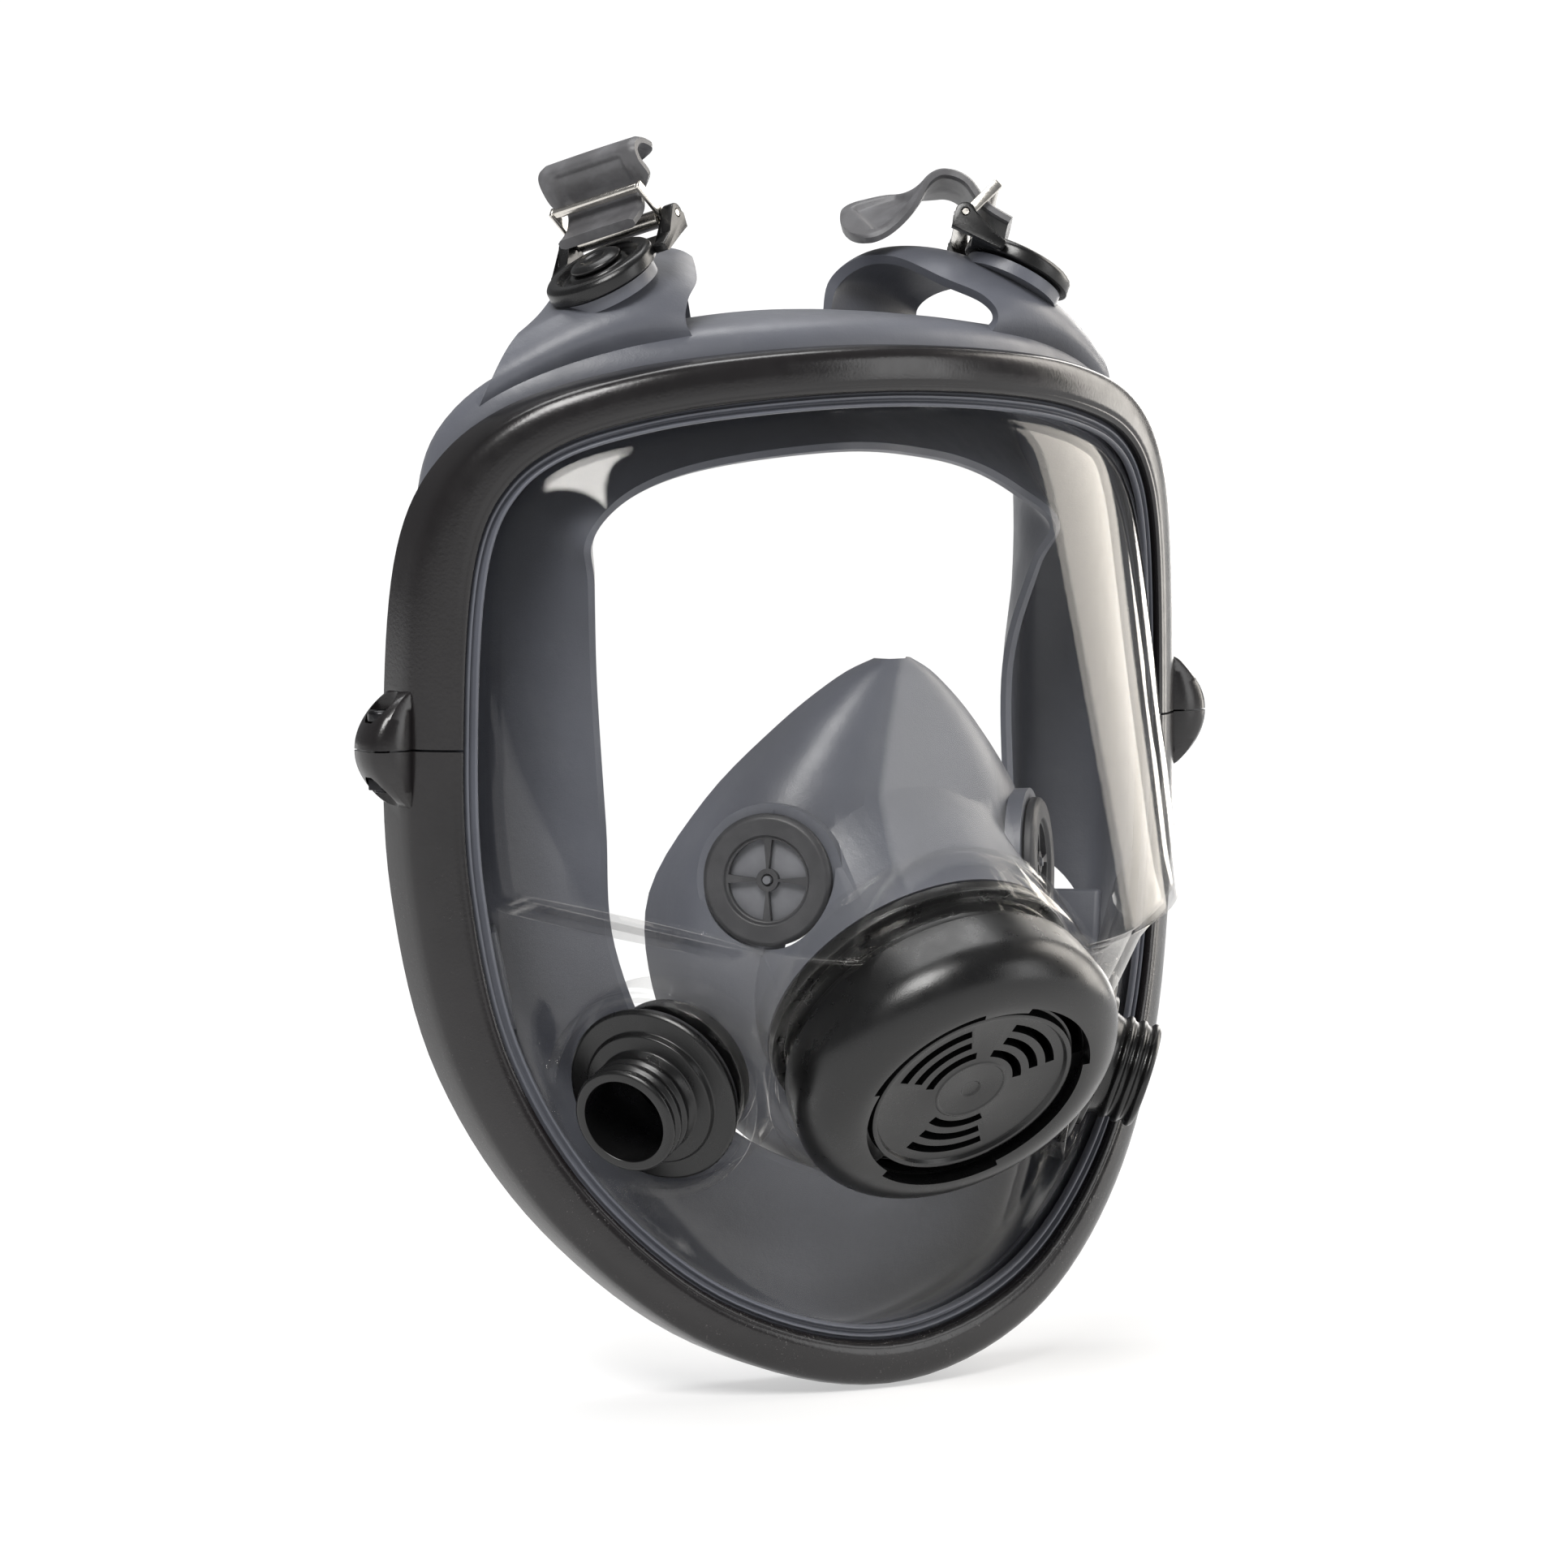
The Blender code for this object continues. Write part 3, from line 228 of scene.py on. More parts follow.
def frame_at(centre, axis, across=(0, 0, 1)):
    """A matrix at centre whose Z runs along axis and whose Y lies as near to across as it can."""
    z = Vector(axis).normalized()
    y = Vector(across)
    y = (y - z * y.dot(z)).normalized()
    x = y.cross(z)
    rows = Matrix((x, y, z)).transposed().to_4x4()
    rows.translation = Vector(centre)
    return rows


def mirrored(point, side):
    return (point[0] * side, point[1], point[2])


def lathe(profile, steps=32):
    """A turned solid about Z from the closed (radius, height) profile. A point at radius 0 is on the axis."""
    bm = bmesh.new()
    rings = []
    for radius, height in profile:
        if radius == 0:
            rings.append([bm.verts.new((0, 0, height))])
            continue
        angles = [2 * math.pi * i / steps for i in range(steps)]
        rings.append([bm.verts.new((radius * math.cos(a), radius * math.sin(a), height)) for a in angles])
    for ring, following in zip(rings, rings[1:] + rings[:1]):
        if len(ring) == 1 and len(following) == 1:
            continue
        for i in range(steps):
            j = (i + 1) % steps
            corners = [ring[i % len(ring)], ring[j % len(ring)],
                       following[j % len(following)], following[i % len(following)]]
            bm.faces.new(list(dict.fromkeys(corners)))
    return bm


def loft(rings, closed=False):
    """A solid through rings of equal length. A closed one joins its last ring to its first."""
    bm = bmesh.new()
    made = [[bm.verts.new(p) for p in ring] for ring in rings]
    count = len(made[0])
    pairs = list(zip(made, made[1:]))
    if closed:
        pairs.append((made[-1], made[0]))
    for ring, following in pairs:
        for i in range(count):
            j = (i + 1) % count
            bm.faces.new((ring[i], ring[j], following[j], following[i]))
    if not closed:
        bm.faces.new(made[0][::-1])
        bm.faces.new(made[-1])
    return bm


def offset_grid(grid, distance, closed=False):
    """The grid with each point moved along its own normal. A closed one joins its last row to its first."""
    rows = len(grid)
    columns = len(grid[0])
    moved = []
    for r in range(rows):
        up = grid[(r - 1) % rows] if closed else grid[max(r - 1, 0)]
        down = grid[(r + 1) % rows] if closed else grid[min(r + 1, rows - 1)]
        line = []
        for c in range(columns):
            across = grid[r][min(c + 1, columns - 1)] - grid[r][max(c - 1, 0)]
            line.append(grid[r][c] + across.cross(down[c] - up[c]).normalized() * distance)
        moved.append(line)
    return moved


def shell(grid, thickness):
    """A solid of this thickness behind a grid of points."""
    behind = offset_grid(grid, thickness)
    return loft([front + back[::-1] for front, back in zip(grid, behind)])


def catmull(a, b, c, d, t):
    """The point at t on the smooth stretch from b to c."""
    return 0.5 * (2 * b + (c - a) * t + (2 * a - 5 * b + 4 * c - d) * t**2 + (3 * b - a - 3 * c + d) * t**3)


def four_at(keys, k):
    """The key before k, k itself and the two after it, with the end ones repeated."""
    return [keys[max(0, min(len(keys) - 1, k + o))] for o in (-1, 0, 1, 2)]


def ring_curve(half, steps=STEPS_PER_KEY):
    """A smooth closed curve through a right half, top to bottom, and its mirror image, as Vectors."""
    right = [Vector(p) for p in half]
    left = [Vector((-p[0], *p[1:])) for p in half[1:-1]][::-1]
    keys = right + left
    count = len(keys)
    curve = []
    for i in range(count):
        four = [keys[(i + k) % count] for k in (-1, 0, 1, 2)]
        curve += [catmull(*four, s / steps) for s in range(steps)]
    return curve


def smooth_step(low, high, value):
    t = min(1, max(0, (value - low) / (high - low)))
    return t * t * (3 - 2 * t)


def wrap(x):
    """How far back the wrapped outline lies at this x."""
    return WRAP_FRONT + WRAP_RADIUS - math.sqrt(WRAP_RADIUS**2 - x**2)


def outward(curve, i):
    """The outward direction of the closed outline in the XZ plane at its point i."""
    tangent = curve[(i + 1) % len(curve)] - curve[i - 1]
    return Vector((-tangent[1], tangent[0])).normalized()


def outline_point(curve, i, n, y):
    """The point n outside the outline at its point i, and y behind the wrapped surface there."""
    flat = curve[i] + outward(curve, i) * n
    return Vector((flat[0], wrap(flat[0]) + y, flat[1]))


def section_ring(section, curve, i):
    return [outline_point(curve, i, n, y) for n, y in section]


def ring_at_height(first, second, z):
    """The ring between two neighbouring ones, each of its points at this height."""
    return [a.lerp(b, (z - a.z) / (b.z - a.z)) for a, b in zip(first, second)]


def cylinder(radius, low, high, steps=32):
    return lathe([(0, high), (radius, high), (radius, low), (0, low)], steps)


def wall_path(curve, i, rim, opening):
    """The section of the seal's wall: back from the lens bead to the rim, then forward to its edge."""
    forehead = smooth_step(72, 104, curve[i][1])
    start = outline_point(curve, i, *WALL_START)
    throat = outline_point(curve, i, *WALL_THROAT)
    ridge = outline_point(curve, i, -8.5 + 12.6 * forehead, 26 - 8 * forehead)
    middle = (rim + opening) / 2 + Vector((0, 3, 0))
    keys = [start, throat, ridge, rim, middle, opening]
    padded = [start * 2 - throat, *keys, opening * 2 - middle]
    path = []
    for k in range(1, len(keys)):
        path += [catmull(*padded[k - 1:k + 3], s / WALL_STEPS) for s in range(WALL_STEPS)]
    return path + [opening]


def arch_rows(side, across, between):
    """The strap arch over one temple: rows of points from its front foot to its rear foot."""
    sections = []
    for medial, crest, lateral in ARCH_SECTIONS:
        a, b, c = (Vector(mirrored(p, side)) for p in (medial, crest, lateral))
        crown = b * 2 - (a + c) / 2
        ts = [k / across for k in range(across + 1)]
        sections.append([a * (1 - t)**2 + crown * 2 * t * (1 - t) + c * t * t for t in ts])
    rows = []
    for k in range(len(sections) - 1):
        for s in range(between):
            rows.append([catmull(*points, s / between) for points in zip(*four_at(sections, k))])
    return rows + [sections[-1]]


def along(curve, station, n, y):
    """The point of a section of the outline at a station that needn't be whole. It goes round at the ends."""
    whole = math.floor(station)
    first = outline_point(curve, whole % len(curve), n, y)
    second = outline_point(curve, (whole + 1) % len(curve), n, y)
    return first.lerp(second, station - whole)


def half_width_at(curve, z):
    """The half width of the window inside its flat rim, at a height."""
    points = [outline_point(curve, i, LENS_WINDOW, 0) for i in range(len(curve) // 2 + 1)]
    for above, below in zip(points, points[1:]):
        if below.z <= z <= above.z:
            return max(1, above.x + (below.x - above.x) * (above.z - z) / (above.z - below.z))
    return 1


def upper_bulge(x, z, inner):
    """How far the tall upper window stands out. It leans forward and turns square corners lower down."""
    share = min(1, abs(x) / inner)
    lean = max(0, LENS_TOP_Z - z) / (LENS_TOP_Z - LEDGE_Z)
    return UPPER_BULGE * lean * (1 - share**6)**0.7


def lower_bulge(x, z, inner):
    """How far the snout under the ledge stands out. Its steep sides carry the inlets."""
    share = min(1, abs(x) / inner)
    tilt = math.radians(UNIT_TILT)
    seat_y = UNIT_CENTRE[1] - (SEAT_LEVEL + LENS_THICKNESS) / math.cos(tilt)
    seat_y -= (z - UNIT_CENTRE[2]) * math.tan(tilt)
    proud = wrap(x) + LENS_SEAT - seat_y
    proud = (proud + math.sqrt(proud**2 + 4)) / 2 * smooth_step(-98, -82, z)
    edge = 1 / (1 + math.exp((share - 0.7) / 0.07)) - share**4 / (1 + math.exp(0.3 / 0.07))
    valley = 9.5 * math.exp(-((share - 0.85) / 0.1)**2 - ((z - PORT_CENTRE[2]) / 24)**2)
    return proud * edge - valley * (1 - smooth_step(0.88, 1, share))


def lens_row(curve, share, sides, middle_z, bulge):
    """One row of points over the window, and the stations of its two ends.

    share runs from 0 for a row that follows the outline to 1 for one that follows the ledge."""
    half = len(curve) // 2
    ends_at, outline_at = sides
    corner = along(curve, ends_at, LENS_WINDOW, 0)
    outline_corner = along(curve, outline_at, LENS_WINDOW, 0)
    centre = 0 if outline_at < half / 2 else half
    outline_centre = along(curve, centre, LENS_WINDOW, 0)
    row = []
    for k in range(LENS_COLUMNS + 1):
        across = math.sin(math.pi / 2 * (2 * k / LENS_COLUMNS - 1))
        point = along(curve, centre + (outline_at - centre) * abs(across), LENS_WINDOW, 0)
        outline_rise = (point.z - outline_corner.z) / (outline_centre.z - outline_corner.z)
        outline_x = point.x / outline_corner.x
        x = corner.x * ((1 - share) * outline_x + share * abs(across))
        rise = (1 - share) * outline_rise + share * (1 - across**2)
        z = corner.z + (middle_z - corner.z) * rise
        x = math.copysign(x, across)
        row.append(Vector((x, wrap(x) + LENS_SEAT - bulge(x, z, half_width_at(curve, z)), z)))
    return row


def lens_rows(curve):
    """Rows of points over the window and the stations where its edge meets the flat rim, in order round it.

    Two rows make the ledge, one at its front edge and one behind it."""
    half = len(curve) // 2
    top_z = along(curve, 0, LENS_WINDOW, 0).z
    bottom_z = along(curve, half, LENS_WINDOW, 0).z
    rows = []
    sides = []
    for k in range(LENS_UPPER_ROWS + 1):
        share = 1 - math.cos(math.pi / 2 * k / LENS_UPPER_ROWS)
        sides.append(TOP_CORNER + (LEDGE_STATION - TOP_CORNER) * share)
        rows.append(lens_row(curve, share, (sides[-1], TOP_CORNER), top_z + (LEDGE_Z - top_z) * share,
                             upper_bulge))
    below = LEDGE_Z - LEDGE_DROP
    for k in range(LENS_LOWER_ROWS + 1):
        share = 1 - math.sin(math.pi / 2 * k / LENS_LOWER_ROWS)
        sides.append(BOTTOM_CORNER + (LEDGE_STATION + 0.1 * STEPS_PER_KEY - BOTTOM_CORNER) * share)
        rows.append(lens_row(curve, share, (sides[-1], BOTTOM_CORNER), bottom_z + (below - bottom_z) * share,
                             lower_bulge))
    across = [math.sin(math.pi / 2 * (2 * k / LENS_COLUMNS - 1)) for k in range(LENS_COLUMNS + 1)]
    stations = [TOP_CORNER * a for a in across] + sides[1:-1]
    stations += [half + (half - BOTTOM_CORNER) * a for a in across] + [-s for s in sides[1:-1][::-1]]
    return rows, stations


def edge_of(rows):
    """The points round the edge of a grid, in the same order as its stations."""
    right = [row[-1] for row in rows[1:-1]]
    left = [row[0] for row in rows[1:-1]]
    return rows[0] + right + rows[-1][::-1] + left[::-1]


def lens_shell(curve):
    """The window as a shell with a flat rim all round, which sits in the seal's groove."""
    rows, stations = lens_rows(curve)
    behind = offset_grid(rows, LENS_THICKNESS)
    bm = bmesh.new()
    sheets = []
    for grid, level in ((rows, LENS_SEAT), (behind, LENS_SEAT + LENS_THICKNESS)):
        made = [[bm.verts.new(point) for point in row] for row in grid]
        for vertex, station in zip(edge_of(made), stations):
            vertex.co = along(curve, station, LENS_WINDOW, level)
        for row, following in zip(made, made[1:]):
            for k in range(len(row) - 1):
                bm.faces.new((row[k], row[k + 1], following[k + 1], following[k]))
        outer = [bm.verts.new(along(curve, station, LENS_EDGE, level)) for station in stations]
        sheets.append((edge_of(made), outer))
    (front_inner, front_outer), (back_inner, back_outer) = sheets
    for first, second in ((front_inner, front_outer), (front_outer, back_outer), (back_outer, back_inner)):
        for k in range(len(first)):
            j = (k + 1) % len(first)
            bm.faces.new((first[k], first[j], second[j], second[k]))
    return bm


def unit_frame():
    tilt = math.radians(UNIT_TILT)
    return frame_at(UNIT_CENTRE, (0, -math.cos(tilt), -math.sin(tilt)))


def port_frame(side):
    return frame_at(mirrored(PORT_CENTRE, side), mirrored(PORT_AXIS, side))


def slanted(radius, low, high, low_slope, high_slope, steps=30):
    """A cylinder whose ends are tilted planes, each slope given along local X and Y."""
    plug = cylinder(radius, low, high, steps)
    for vertex in plug.verts:
        slope = high_slope if vertex.co.z > (low + high) / 2 else low_slope
        vertex.co.z += slope[0] * vertex.co.x + slope[1] * vertex.co.y
    return plug


def arc_slot(inner, outer, start, stop, low, high, steps=8):
    """A cutter along an arc about Z, with its angles in degrees."""
    rings = []
    for k in range(steps + 1):
        a = math.radians(start + (stop - start) * k / steps)
        rings.append([(r * math.cos(a), r * math.sin(a), h)
                      for r, h in ((inner, low), (outer, low), (outer, high), (inner, high))])
    return loft(rings)


def cup_rows():
    """Rows of points over the nose cup, from the bridge of the nose down to the chin."""
    heights = []
    for k in range(len(CUP_SECTIONS) - 1):
        for s in range(CUP_STEPS):
            heights.append([catmull(*values, s / CUP_STEPS) for values in zip(*four_at(CUP_SECTIONS, k))])
    heights.append(CUP_SECTIONS[-1])
    rows = []
    for z, half, rim, front in heights:
        row = []
        for k in range(CUP_COLUMNS + 1):
            a = math.pi * (k / CUP_COLUMNS - 0.5)
            across = math.copysign(abs(math.sin(a))**0.72, a)
            depth = abs(math.cos(a))**0.62
            ridge = 1.6 * (1 - abs(across))
            row.append(Vector((half * across, rim - (rim - front - ridge) * depth - ridge, z)))
        rows.append(row)
    return rows


def cup_valve_frame(side):
    return frame_at(mirrored(CUP_VALVE, side), mirrored(CUP_VALVE_AXIS, side))


def rounded(profile, radius, samples=3):
    """The profile with its corners rounded. Points at x 0, such as those on a lathe's axis, stay sharp."""
    made = []
    for k, point in enumerate(profile):
        p = Vector(point)
        if p.x == 0:
            made.append(tuple(p))
            continue
        before = Vector(profile[k - 1]) - p
        after = Vector(profile[(k + 1) % len(profile)]) - p
        reach = min(radius, before.length * 0.45, after.length * 0.45)
        a = p + before.normalized() * reach
        b = p + after.normalized() * reach
        for s in range(samples + 1):
            t = s / samples
            made.append(tuple(a * (1 - t)**2 + p * 2 * t * (1 - t) + b * t * t))
    return made


def bevelled_box(low, high, width=0.5, segments=3):
    """A box with rounded edges, from one corner to the other."""
    bm = bmesh.new()
    bmesh.ops.create_cube(bm, size=1)
    size = Vector(high) - Vector(low)
    bmesh.ops.scale(bm, vec=size, verts=bm.verts)
    bmesh.ops.translate(bm, vec=(Vector(high) + Vector(low)) / 2, verts=bm.verts)
    bmesh.ops.bevel(bm, geom=bm.edges[:], offset=width, segments=segments, profile=0.5, affect="EDGES")
    return bm


def mesh_of(name, bm):
    mesh = bpy.data.meshes.new(name)
    bm.to_mesh(mesh)
    bm.free()
    return mesh


def linked(name, data):
    """A new object in the scene with this mesh, light or camera."""
    made = bpy.data.objects.new(name, data)
    bpy.context.scene.collection.objects.link(made)
    return made


def solid(name, bm, matrix=None):
    """An object in metres made of this bmesh, which is in millimetres and placed by matrix."""
    bm.normal_update()
    bmesh.ops.recalc_face_normals(bm, faces=bm.faces)
    bmesh.ops.scale(bm, vec=(MM, MM, MM), verts=bm.verts)
    made = linked(name, mesh_of(name, bm))
    place = matrix.copy() if matrix else Matrix()
    place.translation = place.translation * MM
    made.data.transform(place)
    return made


def combine(target, tools, operation="DIFFERENCE", solver="EXACT"):
    """Joins or cuts target with each tool in turn and leaves one plain mesh."""
    for tool in tools:
        modifier = target.modifiers.new("combine", "BOOLEAN")
        modifier.operation = operation
        modifier.object = tool
        modifier.solver = solver
    bpy.context.view_layer.update()
    graph = bpy.context.evaluated_depsgraph_get()
    mesh = bpy.data.meshes.new_from_object(target.evaluated_get(graph))
    target.modifiers.clear()
    target.data = mesh
    for tool in tools:
        bpy.data.objects.remove(tool)
    return target


def finish_piece(obj, node, slot, angle=32):
    """Makes obj the look of one CAD node: its material, its smooth shading, its body and its slot."""
    obj.data.materials.clear()
    obj.data.materials.append(MATERIALS[slot])
    obj.data.shade_smooth()
    obj.data.set_sharp_from_angle(angle=math.radians(angle))
    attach(obj, BODY_OF[node])
    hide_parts(node)
    return obj


def look_name(node):
    return "look_" + node


def turned_solid(node, profile, place, corner=0.35, steps=TURN_STEPS):
    """A turned solid with rounded corners, named as the look of this node."""
    return solid(look_name(node), lathe(rounded(profile, corner), steps), place)


def turned(node, profile, slot, place, corner=0.35, steps=TURN_STEPS):
    """A finished turned piece with rounded corners."""
    return finish_piece(turned_solid(node, profile, place, corner, steps), node, slot)


def pierce(target, slots, low, high, place, steps=20):
    """Cuts target with slots given as (inner radius, outer radius, start, stop) about the axis of place."""
    bm = bmesh.new()
    for slot in slots:
        tool = solid("slot", arc_slot(*slot, low, high, steps), place)
        bm.from_mesh(tool.data)
        bpy.data.objects.remove(tool)
    return combine(target, [linked("slots", mesh_of("slots", bm))])


def sectors(inner, outer, count, margin):
    """Equal slots round an axis, with a bar twice the margin wide, in degrees, between them."""
    pitch = 360 / count
    return [(inner, outer, pitch * k + margin, pitch * (k + 1) - margin) for k in range(count)]


class Nodes:
    """Short calls for building one procedural material."""

    def __init__(self, name):
        self.material = bpy.data.materials.new(name)
        self.material.use_nodes = True
        self.tree = self.material.node_tree
        self.shader = self.tree.nodes["Principled BSDF"]
        self.output = self.tree.nodes["Material Output"]
        self.place = self.add("ShaderNodeTexCoord").outputs["Object"]

    def add(self, kind, **inputs):
        node = self.tree.nodes.new(kind)
        for key, value in inputs.items():
            self.feed(node.inputs[key.replace("_", " ")], value)
        return node

    def feed(self, socket, value):
        if isinstance(value, bpy.types.NodeSocket):
            self.tree.links.new(value, socket)
        else:
            socket.default_value = value

    def noise(self, scale, detail=3.0, roughness=0.55, stretch=None):
        """A noise between 0 and 1, with its scale in cycles per metre."""
        node = self.add("ShaderNodeTexNoise", Scale=scale, Detail=detail, Roughness=roughness)
        source = self.place
        if stretch:
            mapping = self.add("ShaderNodeMapping", Vector=self.place, Scale=stretch)
            source = mapping.outputs["Vector"]
        self.feed(node.inputs["Vector"], source)
        return node.outputs["Fac"]

    def spread(self, value, low, high, to_low=0.0, to_high=1.0):
        node = self.add("ShaderNodeMapRange", Value=value)
        node.inputs["From Min"].default_value = low
        node.inputs["From Max"].default_value = high
        node.inputs["To Min"].default_value = to_low
        node.inputs["To Max"].default_value = to_high
        return node.outputs["Result"]

    def maths(self, operation, a, b):
        node = self.add("ShaderNodeMath")
        node.operation = operation
        self.feed(node.inputs[0], a)
        self.feed(node.inputs[1], b)
        return node.outputs[0]

    def mix(self, share, a, b):
        """A colour between a and b."""
        node = self.add("ShaderNodeMix")
        node.data_type = "RGBA"
        self.feed(node.inputs["Factor"], share)
        self.feed(node.inputs[6], (*a, 1) if isinstance(a, tuple) else a)
        self.feed(node.inputs[7], (*b, 1) if isinstance(b, tuple) else b)
        return node.outputs[2]

    def height(self):
        """The z of the point, in metres."""
        node = self.add("ShaderNodeSeparateXYZ", Vector=self.place)
        return node.outputs["Z"]

    def bump(self, height, distance, strength=1.0, normal=None):
        node = self.add("ShaderNodeBump", Height=height, Distance=distance, Strength=strength)
        if normal:
            self.feed(node.inputs["Normal"], normal)
        return node.outputs["Normal"]

    def set(self, **inputs):
        for key, value in inputs.items():
            socket = self.shader.inputs[key.replace("_", " ")]
            if isinstance(value, tuple):
                value = (*value, 1)
            self.feed(socket, value)
        return self.material


def seal_silicone():
    """Satin blue-grey silicone: slow colour drift, a fine matt grain and faint handling marks."""
    n = Nodes("seal_silicone")
    drift = n.spread(n.noise(22, 3), 0.3, 0.7)
    base = n.mix(drift, (0.088, 0.092, 0.108), (0.104, 0.110, 0.132))
    smudge = n.spread(n.noise(75, 5, 0.65), 0.55, 0.8)
    base = n.mix(n.maths("MULTIPLY", smudge, 0.35), base, (0.138, 0.142, 0.158))
    grain = n.noise(2600, 2, 0.5)
    soft = n.noise(160, 3)
    rough = n.maths("ADD", n.spread(soft, 0.3, 0.7, 0.36, 0.46), n.maths("MULTIPLY", smudge, 0.1))
    normal = n.bump(grain, 0.00006, 0.5, n.bump(soft, 0.0004, 0.35))
    return n.set(Base_Color=base, Roughness=rough, Normal=normal, Sheen_Weight=0.06, Specular_IOR_Level=0.5)


def clear_lens():
    """Clear polycarbonate: mirror-like at grazing angles, slightly grey, with hairline marks from wiping."""
    n = Nodes("clear_lens")
    facing = n.add("ShaderNodeLayerWeight", Blend=0.5).outputs["Facing"]
    grazing = n.maths("POWER", facing, 4.6)
    share = n.maths("ADD", n.maths("MULTIPLY", grazing, 0.85), 0.02)
    wiped = n.noise(900, 4, 0.6, (1.0, 1.0, 0.05))
    haze = n.spread(wiped, 0.62, 0.75, 0.02, 0.09)
    edges = n.add("ShaderNodeBevel", Radius=LENS_EDGE_RADIUS)
    gloss = n.add("ShaderNodeBsdfGlossy", Roughness=haze, Normal=edges.outputs["Normal"])
    gloss.inputs["Color"].default_value = (1, 0.985, 0.96, 1)
    clear = n.add("ShaderNodeBsdfTransparent")
    tint = n.mix(grazing, (0.985, 0.985, 0.983), (0.80, 0.79, 0.78))
    n.feed(clear.inputs["Color"], tint)
    mix = n.add("ShaderNodeMixShader", Fac=share)
    n.feed(mix.inputs[1], clear.outputs[0])
    n.feed(mix.inputs[2], gloss.outputs[0])
    n.feed(n.output.inputs["Surface"], mix.outputs[0])
    n.tree.nodes.remove(n.shader)
    return n.material


def clamp_plastic():
    """Near-black brownish moulded plastic with a satin gloss, scuffed where the object is set down."""
    n = Nodes("clamp_plastic")
    drift = n.spread(n.noise(30, 2), 0.3, 0.7)
    base = n.mix(drift, (0.006, 0.0052, 0.0055), (0.010, 0.0085, 0.009))
    low = n.spread(n.height(), 0.03, -0.10)
    specks = n.spread(n.noise(1500, 3, 0.7), 0.62, 0.72)
    patches = n.spread(n.noise(110, 3), 0.45, 0.65)
    scuff = n.maths("MULTIPLY", n.maths("MULTIPLY", specks, patches), low)
    base = n.mix(n.maths("MULTIPLY", scuff, 0.6), base, (0.16, 0.15, 0.15))
    grain = n.noise(1400, 3)
    rough = n.maths("ADD", n.spread(n.noise(260, 4), 0.3, 0.7, 0.20, 0.27), n.maths("MULTIPLY", scuff, 0.3))
    normal = n.bump(grain, 0.00008, 0.35, n.bump(scuff, 0.0002, 0.4))
    return n.set(Base_Color=base, Roughness=rough, Normal=normal, Specular_IOR_Level=0.55)


def black_plastic():
    """Black moulded plastic with a fine spark-eroded grain and a little wear."""
    n = Nodes("black_plastic")
    worn = n.spread(n.noise(420, 5, 0.7), 0.6, 0.78)
    base = n.mix(n.maths("MULTIPLY", worn, 0.3), (0.004, 0.004, 0.0042), (0.018, 0.0175, 0.0175))
    grain = n.noise(3000, 2)
    rough = n.spread(n.noise(200, 4), 0.3, 0.7, 0.25, 0.34)
    normal = n.bump(grain, 0.00005, 0.4)
    return n.set(Base_Color=base, Roughness=rough, Normal=normal, Specular_IOR_Level=0.5)


def steel():
    """Nickel-plated wire and sheet, with fine drawing lines and a few dull patches."""
    n = Nodes("steel")
    lines = n.noise(700, 4, 0.6, (0.05, 1.0, 1.0))
    dull = n.spread(n.noise(380, 4), 0.5, 0.75)
    base = n.mix(n.maths("MULTIPLY", dull, 0.5), (0.70, 0.67, 0.62), (0.38, 0.35, 0.31))
    rough = n.spread(lines, 0.3, 0.7, 0.16, 0.30)
    normal = n.bump(lines, 0.00005, 0.4)
    return n.set(Base_Color=base, Roughness=rough, Normal=normal, Metallic=1.0)


def mottled(name, patches, span, colours, grain, depth, strength, rough, metallic=0.0):
    """A plain surface of two colours in soft patches, with a fine grain."""
    n = Nodes(name)
    share = n.spread(n.noise(*patches), *span)
    normal = n.bump(n.noise(*grain), depth, strength)
    return n.set(Base_Color=n.mix(share, *colours), Roughness=n.spread(share, 0, 1, *rough), Normal=normal,
                 Metallic=metallic)


def clamp_half(node, curve, upper):
    """One half of the lens clamp, with a rounded lug on each side at the seam."""
    facing = 1 if upper else -1
    end = SEAM_Z + facing * SEAM_GAP / 2
    section = rounded(CLAMP_SECTION, CLAMP_ROUND, 2)
    rings = [section_ring(section, curve, i) for i in range(len(curve))]
    inside = [i for i in range(len(curve)) if (curve[i][1] - end) * facing > 0]
    first = next(i for i in inside if (i - 1) % len(curve) not in inside)
    order = [(first + k) % len(curve) for k in range(len(inside))]
    kept = [rings[i] for i in order]
    kept.insert(0, ring_at_height(rings[order[0]], rings[order[0] - 1], end))
    kept.append(ring_at_height(rings[order[-1]], rings[(order[-1] + 1) % len(curve)], end))
    half = solid(look_name(node), loft(kept))
    lugs = []
    holes = []
    back = wrap(LUG_FOOT_X) + LUG_BACK
    seat = SCREW_SEAT - 0.3
    for side in SIDES.values():
        lugs.append(solid("lug", lug(side, facing, back)))
        drill = lathe([(0, 30), (3.5, 30), (3.5, seat), (1.9, seat), (1.9, -seat), (3.5, -seat), (3.5, -30),
                       (0, -30)])
        holes.append(solid("hole", drill, Matrix.Translation((side * SCREW_X, back, SEAM_Z))))
    combine(half, lugs, "UNION")
    combine(half, holes)
    return finish_piece(half, node, "clamp_plastic")


